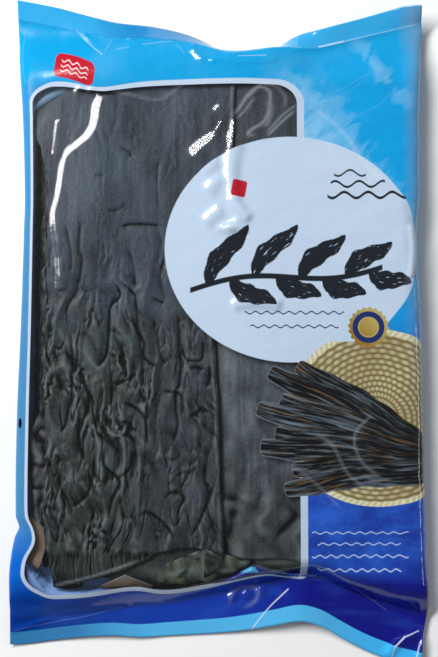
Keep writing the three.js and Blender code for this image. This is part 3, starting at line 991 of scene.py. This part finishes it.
class Value:
    """A socket in a material's node tree, with arithmetic that adds Math nodes."""

    def __init__(self, tree, socket):
        self.tree = tree
        self.socket = socket

    def math(self, operation, *others, clamp=False):
        node = self.tree.nodes.new("ShaderNodeMath")
        node.operation = operation
        node.use_clamp = clamp
        for slot, value in zip(node.inputs, (self, *others)):
            put(self.tree, value, slot)
        return Value(self.tree, node.outputs[0])

    __add__ = __radd__ = math_node("ADD")
    __sub__ = math_node("SUBTRACT")
    __mul__ = __rmul__ = math_node("MULTIPLY")
    __truediv__ = math_node("DIVIDE")
    abs = math_node("ABSOLUTE")
    sqrt = math_node("SQRT")
    sin = math_node("SINE")
    floor = math_node("FLOOR")
    power = math_node("POWER")
    angle_from = math_node("ARCTAN2")
    at_least = math_node("MAXIMUM")
    at_most = math_node("MINIMUM")
    above = math_node("GREATER_THAN")

    def __rsub__(self, other):
        return -self + other

    def __neg__(self):
        return self * -1

    def inside(self, blur=0.25):
        """1 where a signed distance is negative, 0 outside, over a short blur."""
        return (self * (-0.5 / blur)).math("ADD", 0.5, clamp=True)

    def ramp(self, low, high):
        return ((self - low) / (high - low)).math("ADD", 0.0, clamp=True)


class Surface:
    """A material being built, and its colour so far, which layers are painted over."""

    def __init__(self, name):
        self.material = bpy.data.materials.new(name)
        self.material.use_nodes = True
        self.tree = self.material.node_tree
        self.tree.nodes.clear()
        self.output = self.tree.nodes.new("ShaderNodeOutputMaterial")
        self.colour = None

    def node(self, kind, inputs=None, **settings):
        """A new node with its settings and its inputs. An input given as None is left alone."""
        node = self.tree.nodes.new("ShaderNode" + kind)
        for key, value in settings.items():
            setattr(node, key, value)
        for key, value in (inputs or {}).items():
            if value is not None:
                put(self.tree, value, node.inputs[key])
        return node

    def split(self, vector):
        parts = self.node("SeparateXYZ", {0: vector}).outputs
        return [Value(self.tree, part) for part in parts]

    def attribute(self, name):
        return self.split(self.node("Attribute", attribute_name=name).outputs["Vector"])

    def film_place(self):
        """X and Y in the film's coordinates, in millimetres."""
        x, y, _ = self.split(self.node("TexCoord").outputs["Object"])
        return x / MM + MIDDLE[0], y / MM + MIDDLE[1]

    def vector(self, x, y, z=0.0):
        return self.node("CombineXYZ", {0: x, 1: y, 2: z}).outputs[0]

    def noise(self, vector, scale, detail=2.0, roughness=0.5, distortion=0.0):
        texture = self.node("TexNoise", {"Vector": vector, "Scale": scale, "Detail": detail,
                                         "Roughness": roughness, "Distortion": distortion})
        return Value(self.tree, texture.outputs[0])

    def ridged(self, vector, scale, detail):
        """Noise with sharp crests, about 0 to 1."""
        texture = self.node("TexNoise", {"Vector": vector, "Scale": scale, "Detail": detail},
                            noise_type="RIDGED_MULTIFRACTAL")
        return Value(self.tree, texture.outputs[0]) * 0.5

    def mix(self, share, low, high):
        """Mixes two colours, each a colour or a socket."""
        return self.node("Mix", {0: share, 6: low, 7: high}, data_type="RGBA").outputs[2]

    def paint(self, share, colour):
        """Lays a colour over the colour so far."""
        self.colour = self.mix(share, self.colour, colour)

    def blend(self, share, first, second):
        """Mixes two shaders."""
        return self.node("MixShader", {0: share, 1: first, 2: second}).outputs[0]

    def bump(self, height, strength, distance, normal=None):
        return self.node("Bump", {"Height": height, "Strength": strength, "Distance": distance,
                                  "Normal": normal}).outputs[0]

    def principled(self, colour, roughness, normal=None, specular=0.5):
        return self.node("BsdfPrincipled", {"Base Color": colour, "Roughness": roughness,
                                            "Specular IOR Level": specular,
                                            "Normal": normal}).outputs[0]

    def gloss(self, roughness, normal):
        return self.node("BsdfGlossy", {"Roughness": roughness, "Normal": normal}).outputs[0]

    def finish(self, shader):
        put(self.tree, shader, self.output.inputs[0])
        return self.material


def srgb(red, green, blue):
    """A colour given as 0 to 255 in sRGB, as linear light."""
    return tuple(v / 12.92 if v <= 0.04045 else ((v + 0.055) / 1.055) ** 2.4
                 for v in (red / 255, green / 255, blue / 255))


# Shapes on the flat artwork, each a signed distance in millimetres


def length_of(x, y):
    return (x * x + y * y).sqrt()


def turned(x, y, centre, degrees):
    """Place in a frame that is moved to a centre and turned anticlockwise."""
    c, s = math.cos(math.radians(degrees)), math.sin(math.radians(degrees))
    dx, dy = x - centre[0], y - centre[1]
    return dx * c + dy * s, dy * c - dx * s


def ellipse(x, y, centre, radii):
    """Near enough to a distance close to its edge."""
    return (length_of((x - centre[0]) / radii[0], (y - centre[1]) / radii[1]) - 1) * min(radii)


def rounded_box(x, y, centre, half, radius):
    dx = (x - centre[0]).abs() - (half[0] - radius)
    dy = (y - centre[1]).abs() - (half[1] - radius)
    outside = length_of(dx.at_least(0), dy.at_least(0))
    return outside + dx.at_least(dy).at_most(0) - radius


def window_box(x, y, span_x, span_y, round_corner, square_corner):
    """An upright box whose lower right corner is almost square."""
    centre = (sum(span_x) / 2, sum(span_y) / 2)
    half = (span_x[1] - centre[0], span_y[1] - centre[1])
    is_square = x.above(centre[0]) * (1 - y.above(centre[1]))
    radius = round_corner - (round_corner - square_corner) * is_square
    return rounded_box(x, y, centre, half, radius)


def line(x, y, start, end, half_width):
    along = (end[0] - start[0], end[1] - start[1])
    length = math.hypot(*along)
    u, v = turned(x, y, start, math.degrees(math.atan2(along[1], along[0])))
    past = (-u).at_least(u - length).at_least(0)
    return length_of(past, v) - half_width


def frond(x, y, root, degrees, length, half_width, sway, waves, ruffle, blunt):
    """A wavy ribbon of kelp growing from its root: distance, and place along and across it."""
    u, v = turned(x, y, root, degrees)
    along = u / length
    v = v - (along * (waves * 2 * math.pi)).sin() * sway
    taper = (along * (1 - along) * 4).at_least(0).power(blunt) * (1.1 - along * 0.3)
    frill = 1 + (along * (waves * 8 * math.pi)).sin() * ruffle
    half = taper * frill * half_width
    past = (-u).at_least(u - length)
    return (v.abs() - half).at_least(past), along, v / half_width


# Printed colours
SKY_TOP = srgb(14, 155, 214)
SKY_RIGHT = srgb(8, 156, 220)
SKY_LEFT = srgb(50, 142, 200)
# Painted grey sheen on the left side fold
LEFT_SHEEN = srgb(70, 132, 180)
LEFT_LOW = srgb(12, 96, 198)
SEAL_BLUE = srgb(54, 164, 220)
# Painted shade of the top seal where it curls down
SEAL_CURL_SHADE = srgb(30, 128, 190)
SEAL_ROOT = srgb(28, 132, 196)
# Painted sheen of the right side fold
SIDE_SHEEN = srgb(150, 158, 176)
CLOUD = srgb(140, 198, 234)
SEA_LIGHT = srgb(40, 96, 205)
SEA_DARK = srgb(22, 60, 160)
MARGIN_LEFT = srgb(6, 58, 150)
MARGIN_MID = srgb(14, 58, 172)
MARGIN_RIGHT = srgb(4, 12, 132)
BAND = srgb(84, 186, 240)
BAND_LEFT = srgb(54, 130, 186)
BAND_RIGHT = srgb(62, 186, 250)
BORDER = srgb(186, 203, 224)
OVAL = srgb(190, 209, 230)
INK = srgb(26, 31, 40)
RED = srgb(186, 28, 46)
BADGE_PALE = srgb(236, 214, 216)
GOLD = srgb(180, 164, 98)
GOLD_DARK = srgb(150, 112, 36)
MEDAL_BLUE = srgb(26, 46, 104)
EYE_BLACK = srgb(10, 12, 20)
STRAW = srgb(194, 192, 150)
STRAW_DARK = srgb(120, 100, 62)
STRAW_PALE = srgb(222, 218, 192)
FROND = srgb(12, 14, 18)
FROND_LIGHT = srgb(112, 126, 136)
FROND_TAN = srgb(128, 102, 64)
# Pale of whitened creases and of glints painted along folds
CREASE_AND_GLINT_PALE = srgb(226, 234, 244)
HAZE = srgb(206, 214, 224)

# Printed shapes, in the flat artwork's millimetres
OVAL_CENTRE, OVAL_RADII = (45, 42), (79, 71)
MAT_CENTRE, MAT_RADIUS, MAT_RIM = (97, -64), 56, 3.6
MAT_OVER_OVAL = -16  # below this Y the mat lies over the oval
STRAW_PITCH = 3.4
STRAW_STRANDS = 44
RIM_STRANDS = 90
MEDAL_CENTRE, MEDAL_RADIUS = (93, -7), 12.2
MEDAL_SCALLOPS = 20
BADGE_CENTRE = (-91.5, 161.5)
SQUARE_CENTRE = (12.5, 80)
EYE_MARK = (-123, -66.6)
TIE = (142, -92)
# Fronds fanned out over the mat: direction from the tie in degrees, length, half width
MAT_FRONDS = ((146, 112, 8), (152, 125, 8.5), (158, 112, 8), (163, 124, 9), (169, 110, 8),
              (174, 118, 9), (181, 98, 8), (188, 104, 8.5))
# Brush-drawn sprig in the oval
SPRIG_ROOT = (-18, 16)
SPRIG_LENGTH = 120
SPRIG_RISE = 0.13
SPRIG_BEND = 4
SPRIG_WAVE = 0.05  # radians to a millimetre
SPRIG_LEAVES = 8


# Sharp pale lines on the film: whitened creases, and painted glints along folds at the top seal's root,
# at the top, along the bottom crease and in the lower right corner. Start, end, half width, and strength
CREASE_AND_GLINT_LINES = (
    ((19.5, -207.5), (42, -181), 0.28, 1.0),
    ((64, 174), (80, 177.6), 0.35, 0.85), ((80, 177.6), (127, 188.5), 0.2, 0.4),
    ((-126, 186), (-122, 152), 0.1, 0.25),
    ((106.5, -224), (109, -216), 0.3, 0.6), ((109, -216), (116, -210), 0.6, 0.85),
    ((116, -210), (126, -206.5), 0.4, 0.8), ((124.5, -226), (127.5, -215), 0.5, 0.7),
    ((73.7, 145), (95, 158), 0.2, 0.08), ((74, 139), (102.5, 162), 0.2, 0.07),
    ((86, 126), (100.5, 134), 0.2, 0.07), ((100.5, 134), (111, 147), 0.2, 0.1),
    ((-91.6, 184.6), (-85.5, 177.8), 0.1, 0.5), ((-85.5, 177.8), (-80, 173.4), 0.15, 0.7),
    ((-80, 173.4), (-74.3, 170), 0.15, 0.6), ((-72.5, 171.5), (-68.5, 179), 0.1, 0.3),
    ((-66, 172.3), (-57.5, 173.2), 0.1, 0.3), ((-49, 174.6), (-30, 176.8), 0.1, 0.4),
    ((-27, 174.4), (-22, 168.6), 0.1, 0.3), ((12, 165.9), (30, 166.5), 0.2, 0.4),
    ((-128, -195.5), (-98, -188.5), 0.2, 0.1), ((-98, -188.5), (-60, -184.5), 0.2, 0.12),
    ((82, -178), (104, -194), 0.1, 0.16),
)

# Blocks of small ripples: ends in X, Y of the top row, number of rows, and colour
RIPPLE_PITCH = 8.6
RIPPLE_INSET = 3.5  # of every other row
RIPPLE_BLOCKS = (((16, 78), 2, 2, srgb(40, 56, 98)), ((56, 114), -141, 4, srgb(176, 196, 232)))


def draw_fields(m, x, y, place):
    """The blue fields of sky, sea and margins, and the clouds at the upper right.

    The grey in the middle of the left side fold is a painted sheen.
    """
    cloudy = m.noise(place, 2.2, 4, 0.6)
    sky = m.mix(x.ramp(20, 110) * (1 - y.ramp(140, 175)), SKY_TOP, SKY_RIGHT)
    sky = m.mix(cloudy.ramp(0.52, 0.8) * 0.2, sky, CLOUD)
    # The left side fold: deep blue below, a painted grey sheen in the middle, and sky blue above
    left = m.mix(y.ramp(-152, -122), LEFT_LOW, LEFT_SHEEN)
    left = m.mix(y.ramp(20, 150), left, SKY_LEFT)
    sea = m.mix(m.noise(place, 5.0, 4, 0.6).ramp(0.38, 0.66), SEA_DARK, SEA_LIGHT)
    right = m.mix(y.ramp(-60, 20), sea, sky)
    m.colour = m.mix(x.ramp(-100, 0), left, right)
    m.paint(y.ramp(148, 156), sky)
    margin = m.mix(x.ramp(-80, -30), MARGIN_LEFT, MARGIN_MID)
    margin = m.mix(x.ramp(0, 56), margin, MARGIN_RIGHT)
    streaks = m.noise(m.vector(x * 0.006, y * 0.02), 4.0, 3).ramp(0.5, 0.75)
    margin = m.mix(streaks * 0.35, margin, SEA_LIGHT)
    m.paint(y.ramp(-160, -176), margin)
    drift = m.noise(m.vector((x + y) * 0.006, (y - x) * 0.014), 4.5, 6, 0.65, 0.6)
    ragged = (drift - 0.5) * 80
    bank = ((x - 52) * 0.81 + (y - 161) * 0.59 + ragged).ramp(7, -7)
    bank = bank * x.ramp(24, 54) * y.ramp(172, 148)
    u, v = turned(x, y, (104, 156), -54)
    wisp = (ellipse(u, v, (0, 0), (17, 3)) + ragged * 0.4).inside(3)
    region = bank.at_least(wisp) * y.ramp(40, 90)
    m.paint(region * (drift.ramp(0.4, 0.6) * 0.5 + 0.3), CLOUD)


def straw_mat(m, x, y):
    """Colour and cover of a round straw mat, woven in rings."""
    dx, dy = x - MAT_CENTRE[0], y - MAT_CENTRE[1]
    r = length_of(dx, dy)
    turn = dy.angle_from(dx)
    ring = (r / STRAW_PITCH).floor()
    bulge = (r * (math.pi / STRAW_PITCH)).sin().abs()
    over = (turn * STRAW_STRANDS + ring * math.pi).sin()
    straw = m.mix((bulge * (over * 0.3 + 0.75)).ramp(0.15, 0.95), STRAW_DARK, STRAW)
    age = m.noise(m.vector(x * 0.03, y * 0.03), 1.0, 3)
    straw = m.mix(age.ramp(0.4, 0.75) * 0.5, straw, STRAW_DARK)
    rim_twist = (turn * RIM_STRANDS + r * 0.9).sin().ramp(-0.6, 0.9)
    rim = m.mix(rim_twist, STRAW, STRAW_PALE)
    return m.mix((MAT_RADIUS - MAT_RIM - r).inside(0.3), straw, rim), (r - MAT_RADIUS).inside()


def draw_mat_fronds(m, x, y, opaque):
    """Dried fronds fanned out over the mat, streaked along their length. They are opaque too."""
    for number, (degrees, length, half) in enumerate(MAT_FRONDS):
        shape, along, across = frond(x, y, TIE, degrees, length, half, 1.5, 1.3, 0.06, 0.16)
        fibres = m.noise(m.vector(along * 2.2, across * 2.4, number * 3.1), 2.0, 4, 0.6)
        tone = m.mix(fibres.ramp(0.5, 0.72), FROND, FROND_LIGHT)
        tan = m.noise(m.vector(along * 3.0, across * 3.0, number * 7.7 + 1), 1.6, 3)
        tone = m.mix(tan.ramp(0.58, 0.72) * 0.7, tone, FROND_TAN)
        edge = (shape + 0.9).ramp(0, 0.9)
        tone = m.mix(edge * 0.55, tone, FROND_LIGHT if number % 2 else FROND_TAN)
        shade = across.ramp(-1.0, -0.45) * 0.85 + 0.15
        cover = shape.inside()
        m.paint(cover, m.mix(shade, FROND, tone))
        opaque = opaque.at_least(cover)
    return opaque


def draw_ink_sprig(m, x, y, place):
    """A long sprig of seaweed drawn with a dry brush, its leaves on both sides of the stem."""
    dry = m.noise(place, 60, 3, 0.6)
    bend = ((x - SPRIG_ROOT[0]) * SPRIG_WAVE).sin() * SPRIG_BEND
    stem = (y - SPRIG_ROOT[1] - (x - SPRIG_ROOT[0]) * SPRIG_RISE - bend).abs() - 1.7
    ends = (x - SPRIG_ROOT[0] - SPRIG_LENGTH / 2).abs() - SPRIG_LENGTH / 2
    m.paint(stem.at_least(ends).inside(0.3), INK)
    for leaf in range(SPRIG_LEAVES):
        run = SPRIG_LENGTH * (leaf + 0.7) / (SPRIG_LEAVES + 0.3)
        bend_there = math.sin(run * SPRIG_WAVE) * SPRIG_BEND
        root = (SPRIG_ROOT[0] + run, SPRIG_ROOT[1] + run * SPRIG_RISE + bend_there)
        if leaf % 2 == 0:
            degrees, length, sway = 58 - 3 * leaf, 46 - 1.6 * leaf, 2.4
        else:
            degrees, length, sway = -34 + 2 * leaf, 34 - leaf, -2.4
        shape, along, across = frond(x, y, root, degrees, length, 6.4, sway, 0.8, 0.1, 0.7)
        streak = m.noise(m.vector(along * 3, across * 3, leaf * 2.0), 2.2, 3).ramp(0.66, 0.7)
        m.paint((shape + dry * 1.2 - 0.6).inside(0.3) * (1 - streak * 0.8), INK)


def draw_wave(m, x, y, at, half_span, rate, phase, swing, half_width, blur, colour):
    """A wavy line about a place, its waves' rate in radians to a millimetre."""
    shape = (y - at[1] - (x * rate + phase).sin() * swing).abs() - half_width
    ends = (x - at[0]).abs() - half_span
    m.paint(shape.at_least(ends).inside(blur), colour)


def draw_small_marks(m, x, y):
    """Badge with waves, tilted square, waves and ripples, rosette, and the cutter's eye mark."""
    u, v = turned(x, y, BADGE_CENTRE, -8)
    m.paint(rounded_box(u, v, (0, 0), (12.6, 6.6), 3.2).inside(), RED)
    for row in (-2.4, 0.2, 2.8):
        draw_wave(m, u, v, (0, row), 8.6, 1.1, 0, 0.75, 0.35, 0.15, BADGE_PALE)
    u, v = turned(x, y, SQUARE_CENTRE, -10)
    m.paint(rounded_box(u, v, (0, 0), (4.6, 5.2), 1.6).inside(), RED)

    for rise in (0, 7, 14):
        draw_wave(m, x, y, (92 - 0.7 * rise, 76 + rise), 24 - rise, 0.42, 0.336 * rise, 1.9,
                  0.9 - 0.02 * rise, 0.25, INK)
    for (left, right), top, rows, colour in RIPPLE_BLOCKS:
        for row in range(rows):
            half_span = (right - left) / 2 - RIPPLE_INSET * (row % 2)
            draw_wave(m, x, y, ((left + right) / 2, top - RIPPLE_PITCH * row), half_span, 0.9, 1.7 * row,
                      0.8, 0.42, 0.2, colour)

    dx, dy = x - MEDAL_CENTRE[0], y - MEDAL_CENTRE[1]
    r = length_of(dx, dy)
    scallop = (dy.angle_from(dx) * MEDAL_SCALLOPS).sin() * 0.6
    shine = m.mix((dx + dy).ramp(-12, 10), GOLD_DARK, GOLD)
    m.paint((r + scallop - MEDAL_RADIUS).inside(), shine)
    m.paint(((r - 8.2).abs() - 1.7).inside(0.2), MEDAL_BLUE)
    m.paint(((r - 6.0).abs() - 0.35).inside(0.15), GOLD)
    m.paint(ellipse(x, y, EYE_MARK, (1.6, 3.2)).inside(), EYE_BLACK)


def draw_seals(m, x, y, edge):
    """The bottom seal's pale band, the top seal with painted shade where it curls down, and its root.

    Also a painted sheen along the right side.
    """
    upper = y.above(0)
    band = (edge - (x.ramp(-60, 50) * 2.4 + 8.0)).inside() * (1 - upper)
    m.paint(band, m.mix(x.ramp(60, 100), m.mix(x.ramp(-90, -40), BAND_LEFT, BAND), BAND_RIGHT))
    seal = (edge - TOP_SEAL).inside(0.4) * upper
    # Painted shade on the top seal where it curls down
    curl_shade = x.ramp(-84, -58) * x.ramp(8, -12)
    m.paint(seal * 0.8, m.mix(curl_shade, SEAL_BLUE, SEAL_CURL_SHADE))
    root = ((edge - TOP_SEAL - 0.8).abs() - 0.5).inside(0.7) * upper
    m.paint(root * 0.6, SEAL_ROOT)
    # Painted sheen along the upper right side fold
    m.paint(x.ramp(114, 124) * y.ramp(-60, 10) * 0.35, SIDE_SHEEN)


def film_normal(m, place):
    """Fine ripples of the film."""
    ripples = m.noise(place, 9.0, 3, 0.55)
    return m.bump(ripples, 0.35, 0.0009)


FILM_GLOSS = 0.048  # share of light that the clear film mirrors when it is seen straight on


def front_film_material():
    """Glossy film, clear in the window and opaque where it is printed."""
    m = Surface("printed_film")
    x, y, edge = m.attribute("print_at")
    whitening_and_glint = m.attribute("marks")[0]
    place = m.vector(x * 0.01, y * 0.01)

    window = window_box(x, y, WINDOW_X, WINDOW_Y, 17, 3)
    narrow = x.ramp(-6, 8) * (1 - y.above(-100)) * 1.7
    clear_part = window_box(x, y + narrow, CLEAR_X, CLEAR_Y, 14, 1)
    oval = ellipse(x, y, OVAL_CENTRE, OVAL_RADII).inside()
    opaque = (1 - clear_part.inside(0.2)).at_least(oval)

    draw_fields(m, x, y, place)
    m.paint(window.inside(), BORDER)
    straw, mat = straw_mat(m, x, y)
    m.paint(mat, straw)
    m.paint(oval, OVAL)
    m.paint(mat * oval * (1 - y.above(MAT_OVER_OVAL)), straw)
    draw_ink_sprig(m, x, y, place)
    draw_small_marks(m, x, y)
    opaque = draw_mat_fronds(m, x, y, opaque)
    draw_seals(m, x, y, edge)
    # Stretch marks, creases, and glints painted pale along the film's folds
    pale = whitening_and_glint * 0.8
    for start, end, half_width, strength in CREASE_AND_GLINT_LINES:
        pale = pale.at_least(line(x, y, start, end, half_width).inside(0.3) * strength)
    m.paint(pale, CREASE_AND_GLINT_PALE)

    normal = film_normal(m, place)
    scuffed = x.ramp(-104, -114).at_least(x.ramp(-68, -92) * y.ramp(148, 164))
    coat = m.principled(m.colour, scuffed * 0.12 + 0.11, normal, 0.5 - scuffed * 0.42)
    clear = m.node("BsdfTransparent").outputs[0]
    edge_on = Value(m.tree, m.node("LayerWeight").outputs["Facing"])
    mirrored = edge_on.power(5) * (1 - FILM_GLOSS) + FILM_GLOSS
    shine = m.blend(0.25, m.gloss(0.07, normal), m.gloss(0.3, normal))
    glass = m.blend(mirrored, clear, shine)
    glass = m.blend(whitening_and_glint * 0.45, glass, m.principled(HAZE, 0.3, normal))
    return m.finish(m.blend(opaque, glass, coat))


def back_film_material():
    """The pack's back: blue with a plain pale panel and rules."""
    m = Surface("back_film")
    x, y, _ = m.attribute("print_at")
    place = m.vector(x * 0.01, y * 0.01)
    m.colour = m.mix(y.ramp(-180, 160), MARGIN_LEFT, SKY_TOP)
    m.paint(m.noise(place, 2.2, 4, 0.6).ramp(0.5, 0.75) * 0.3, CLOUD)
    panel = rounded_box(x, y, (0, -6), (86, 118), 14)
    m.paint(panel.inside(), BORDER)
    m.paint(((panel + 5).abs() - 0.5).inside(), SEAL_BLUE)
    for row in range(5):
        m.paint(rounded_box(x, y, (0, 60 - 30 * row), (66, 0.5), 0.4).inside(), SEAL_BLUE)
    return m.finish(m.principled(m.colour, 0.2, film_normal(m, place)))


def inside_material():
    """The back film's pale inner face, blue where the print shows through."""
    m = Surface("film_inside")
    x, y = m.film_place()
    grey = m.mix(y.ramp(-160, 140), srgb(128, 165, 222), srgb(94, 128, 156))
    cloudy = m.noise(m.vector(x * 0.02, y * 0.05), 1.5, 3).ramp(0.4, 0.6)
    m.colour = m.mix(x.ramp(-20, 0), grey, m.mix(cloudy, srgb(26, 44, 140), srgb(50, 78, 168)))
    corner = (y - 0.86 * x + 170.1).at_least(1.43 * x + y + 123.8).at_least(-159.0 - y)
    m.paint(corner.inside(0.5), srgb(70, 170, 222))
    return m.finish(m.principled(m.colour, 0.35))


# Tones of kelp, each a dark and a light colour: in the upper half, in the lower half, and at its
# lower end; where that end begins and is complete, in Y; then how far the pale bloom shows, which also
# paints highlights, and with it the painted veil of reflection. The lighter, bluer upper tones are
# partly a painted veil of the film's reflection.
MAIN_TONES = ((srgb(22, 33, 44), srgb(56, 72, 89)), (srgb(8, 15, 14), srgb(55, 71, 68)),
              (srgb(8, 17, 10), srgb(32, 46, 34)), (-134, -146), 0.5)
RIGHT_TONES = ((srgb(24, 30, 38), srgb(56, 64, 74)), (srgb(40, 47, 56), srgb(104, 116, 128)),
               (srgb(14, 18, 20), srgb(52, 60, 63)), (-84, -132), 0.5)
SIDE_TONES = ((srgb(12, 10, 13), srgb(30, 28, 31)), (srgb(12, 10, 13), srgb(30, 28, 31)),
              (srgb(14, 17, 16), srgb(36, 41, 38)), (-134, -146), 0.05)


def one_tone(dark, light, bloom_and_sheen):
    return ((dark, light),) * 3 + ((-134, -146), bloom_and_sheen)


FLAP_TONES = one_tone(srgb(34, 32, 37), srgb(66, 64, 70), 0.2)
OLIVE_TONES = one_tone(srgb(14, 25, 14), srgb(36, 48, 32), 0.1)
BROWN_TONES = one_tone(srgb(92, 77, 63), srgb(134, 113, 95), 0.1)
FOLD_TONES = one_tone(srgb(26, 36, 24), srgb(92, 104, 84), 0.4)

# Tones laid over all kelp, among them painted shade, painted highlights and a painted veil of reflection
COOL_TONES = (srgb(17, 20, 31), srgb(62, 69, 90))
# Painted shade in broad patches
SHADE_PATCH = srgb(9, 13, 14)
# Pale bloom, and painted highlights on facets
POWDER_AND_HIGHLIGHT = srgb(128, 138, 148)
# Painted veil of the film's reflection
REFLECTION_VEIL = srgb(126, 140, 158)
# Painted shade in patches
BLOTCH_SHADE = srgb(14, 19, 18)
SHADED = srgb(22, 25, 28)
GRAIN_DARK = srgb(8, 10, 10)
GRAIN_LIGHT = srgb(104, 114, 122)
# Painted shade in grooves and hollows
GROOVE_SHADE = srgb(4, 6, 5)
# Painted highlight on raised crests
CREST_HIGHLIGHT = srgb(110, 124, 124)


def kelp_material(name, tones):
    """Leathery dried kelp: dark patches, streaks along the blade, fine wrinkles, and a pale bloom.

    It also holds painted light: shade in its grooves and hollows, highlights on its crests and facets,
    and a veil of the film's reflection.
    """
    upper, lower, end, (end_from, end_to), bloom_and_sheen = tones
    m = Surface(name)
    x, y = m.film_place()
    hollow, wrinkled, dark = m.attribute("relief")

    def spots(x_rate, y_rate, z, detail, roughness=0.5, shift=None):
        """Noise, its rates in lumps to a millimetre."""
        at_x, at_y = (x, y) if shift is None else (x + shift, y + shift)
        return m.noise(m.vector(at_x * x_rate, at_y * y_rate, z), 1.0, detail, roughness)

    wander = (spots(0.05, 0.04, 7.0, 2) - 0.5) * 9
    patches = spots(0.035, 0.018, 0.0, 4, 0.6)
    streaks = spots(0.3, 0.012, 0.0, 2, 0.6)
    blotches = spots(0.09, 0.045, 3.0, 4, 0.6, wander)
    ridges = m.ridged(m.vector((x + wander) * 0.17, (y + wander) * 0.07), 1.0, 2)
    puckers = spots(0.32, 0.2, 0.0, 2, 0.55)
    grain = spots(1.3, 0.5, 5.0, 3, 0.7)
    streaky = streaks.ramp(0.3, 0.7)
    smooth_mottle = patches * 0.6 + streaks * 0.25 + blotches * 0.15
    mottle = (smooth_mottle + (blotches - smooth_mottle) * wrinkled).ramp(0.4, 0.62)

    # Lighter, bluer tones in the upper half: the kelp's colour with a painted veil of the film's
    # reflection
    m.colour = m.mix(mottle, *upper)
    low = (patches * 60 + y).ramp(55, -5)
    m.paint(low, m.mix(mottle, *lower))
    cool = x.ramp(-64, -24) * (1 - x.above(-2)) * low
    m.paint(cool * 0.65, m.mix(mottle, *COOL_TONES))
    # Broad patches of painted shade over the lower half
    shade_patches = spots(0.07, 0.04, 9.0, 2).ramp(0.62, 0.38)
    m.paint(shade_patches * low * 0.7, SHADE_PATCH)
    m.paint((y + puckers * 8).ramp(end_from, end_to), m.mix(mottle, *end))
    # Pale bloom of the kelp, which also paints highlights on its facets
    powder_and_highlight = spots(0.05, 0.022, 4.0, 4, 0.65).ramp(0.45, 0.75) * (streaky * 0.5 + 0.5)
    m.paint(powder_and_highlight * bloom_and_sheen * 0.35, POWDER_AND_HIGHLIGHT)
    # Painted veil of the film's reflection, beside the long glint down the window's left
    reflection_veil = ellipse(x, y, (-89, 98), (11, 34)).inside(9) * (streaky * 0.6 + 0.4)
    m.paint(reflection_veil * bloom_and_sheen * 0.6, REFLECTION_VEIL)
    # Painted shade down a crease on the left and at the blade's lower right
    shade_blotch = ellipse(x, y, (-88, 34), (2.5, 22)).inside(3)
    m.paint(shade_blotch.at_least(ellipse(x, y, (-1, -137), (12, 8)).inside(6)) * 0.7, BLOTCH_SHADE)
    shaded = ((y + 118 + (x - 10) * 0.35 + wander * 1.6).abs() - 5).inside(9)
    m.paint(shaded * x.ramp(0, 8) * x.ramp(46, 26) * 0.5, SHADED)
    m.paint(grain.ramp(0.5, 0.3) * 0.45, GRAIN_DARK)
    m.paint(grain.ramp(0.52, 0.72) * 0.3, GRAIN_LIGHT)
    # Painted shade in the grooves and hollows
    groove_shade = hollow.ramp(-0.05, 1.0).at_least(dark)
    m.paint(groove_shade * 0.95, GROOVE_SHADE)
    # Painted highlights on the raised crests
    m.paint(hollow.ramp(-0.3, -1.4) * 0.42, CREST_HIGHLIGHT)

    normal = m.bump(streaks, 0.15, 0.0006)
    normal = m.bump(ridges * wrinkled, 0.35, 0.001, normal)
    normal = m.bump(puckers, 0.3, 0.0008, normal)
    return m.finish(m.principled(m.colour, 0.42 + puckers * 0.2, normal, 0.34 - groove_shade * 0.3))


# Studio


def make_floor():
    mesh = bpy.data.meshes.new("floor")
    corners = [(-1, -1), (1, -1), (1, 1), (-1, 1)]
    mesh.from_pydata([(FLOOR_HALF * x, FLOOR_HALF * y, 0) for x, y in corners], [], [(0, 1, 2, 3)])
    floor = bpy.data.objects.new("floor", mesh)
    floor.location.z = CAD_BOX[0][2] - FLOOR_DROP
    bpy.context.collection.objects.link(floor)
    m = Surface("floor")
    mesh.materials.append(m.finish(m.principled(FLOOR_COLOUR, 0.9, specular=0.0)))


def area_light(name, at, size, power):
    """A soft lamp at a place in metres, aimed at the pack."""
    light = bpy.data.lights.new(name, "AREA")
    light.shape = "RECTANGLE"
    light.size, light.size_y = size
    light.energy = power
    lamp = bpy.data.objects.new(name, light)
    lamp.location = at
    lamp.rotation_euler = (-Vector(at)).to_track_quat("-Z", "Y").to_euler()
    bpy.context.collection.objects.link(lamp)


def make_lights():
    """Faint even light from all round, the key lamp, and a weak one at the right."""
    world = bpy.data.worlds.new("studio")
    bpy.context.scene.world = world
    world.use_nodes = True
    background = world.node_tree.nodes["Background"]
    background.inputs["Color"].default_value = (0.93, 0.96, 1.0, 1)
    background.inputs["Strength"].default_value = 0.2
    area_light("key", from_above(*KEY_PLACE), (1.3, 0.25), 28)
    area_light("right", from_above(62, -5, 1.6), (0.5, 0.15), 1.5)


def make_camera():
    camera = bpy.data.cameras.new("camera")
    camera.sensor_fit = "HORIZONTAL"
    camera.sensor_width = SENSOR
    camera.lens = FOCAL_PIXELS / IMAGE_WIDTH * SENSOR
    lens = bpy.data.objects.new("camera", camera)
    origin = Vector((-MIDDLE[0] * MM, -MIDDLE[1] * MM, 0))
    lens.location = origin + CAMERA_DISTANCE * Vector(CAMERA_WAY)
    target = origin + Vector((0, AIM_Y * MM, 0))
    lens.rotation_euler = (target - lens.location).to_track_quat("-Z", "Y").to_euler()
    bpy.context.collection.objects.link(lens)
    bpy.context.scene.camera = lens


make_film()
make_top_blades()
make_lower_layers()
make_small_pieces()
make_inside()
make_floor()
make_lights()
make_camera()
bpy.context.scene.view_settings.view_transform = "Standard"
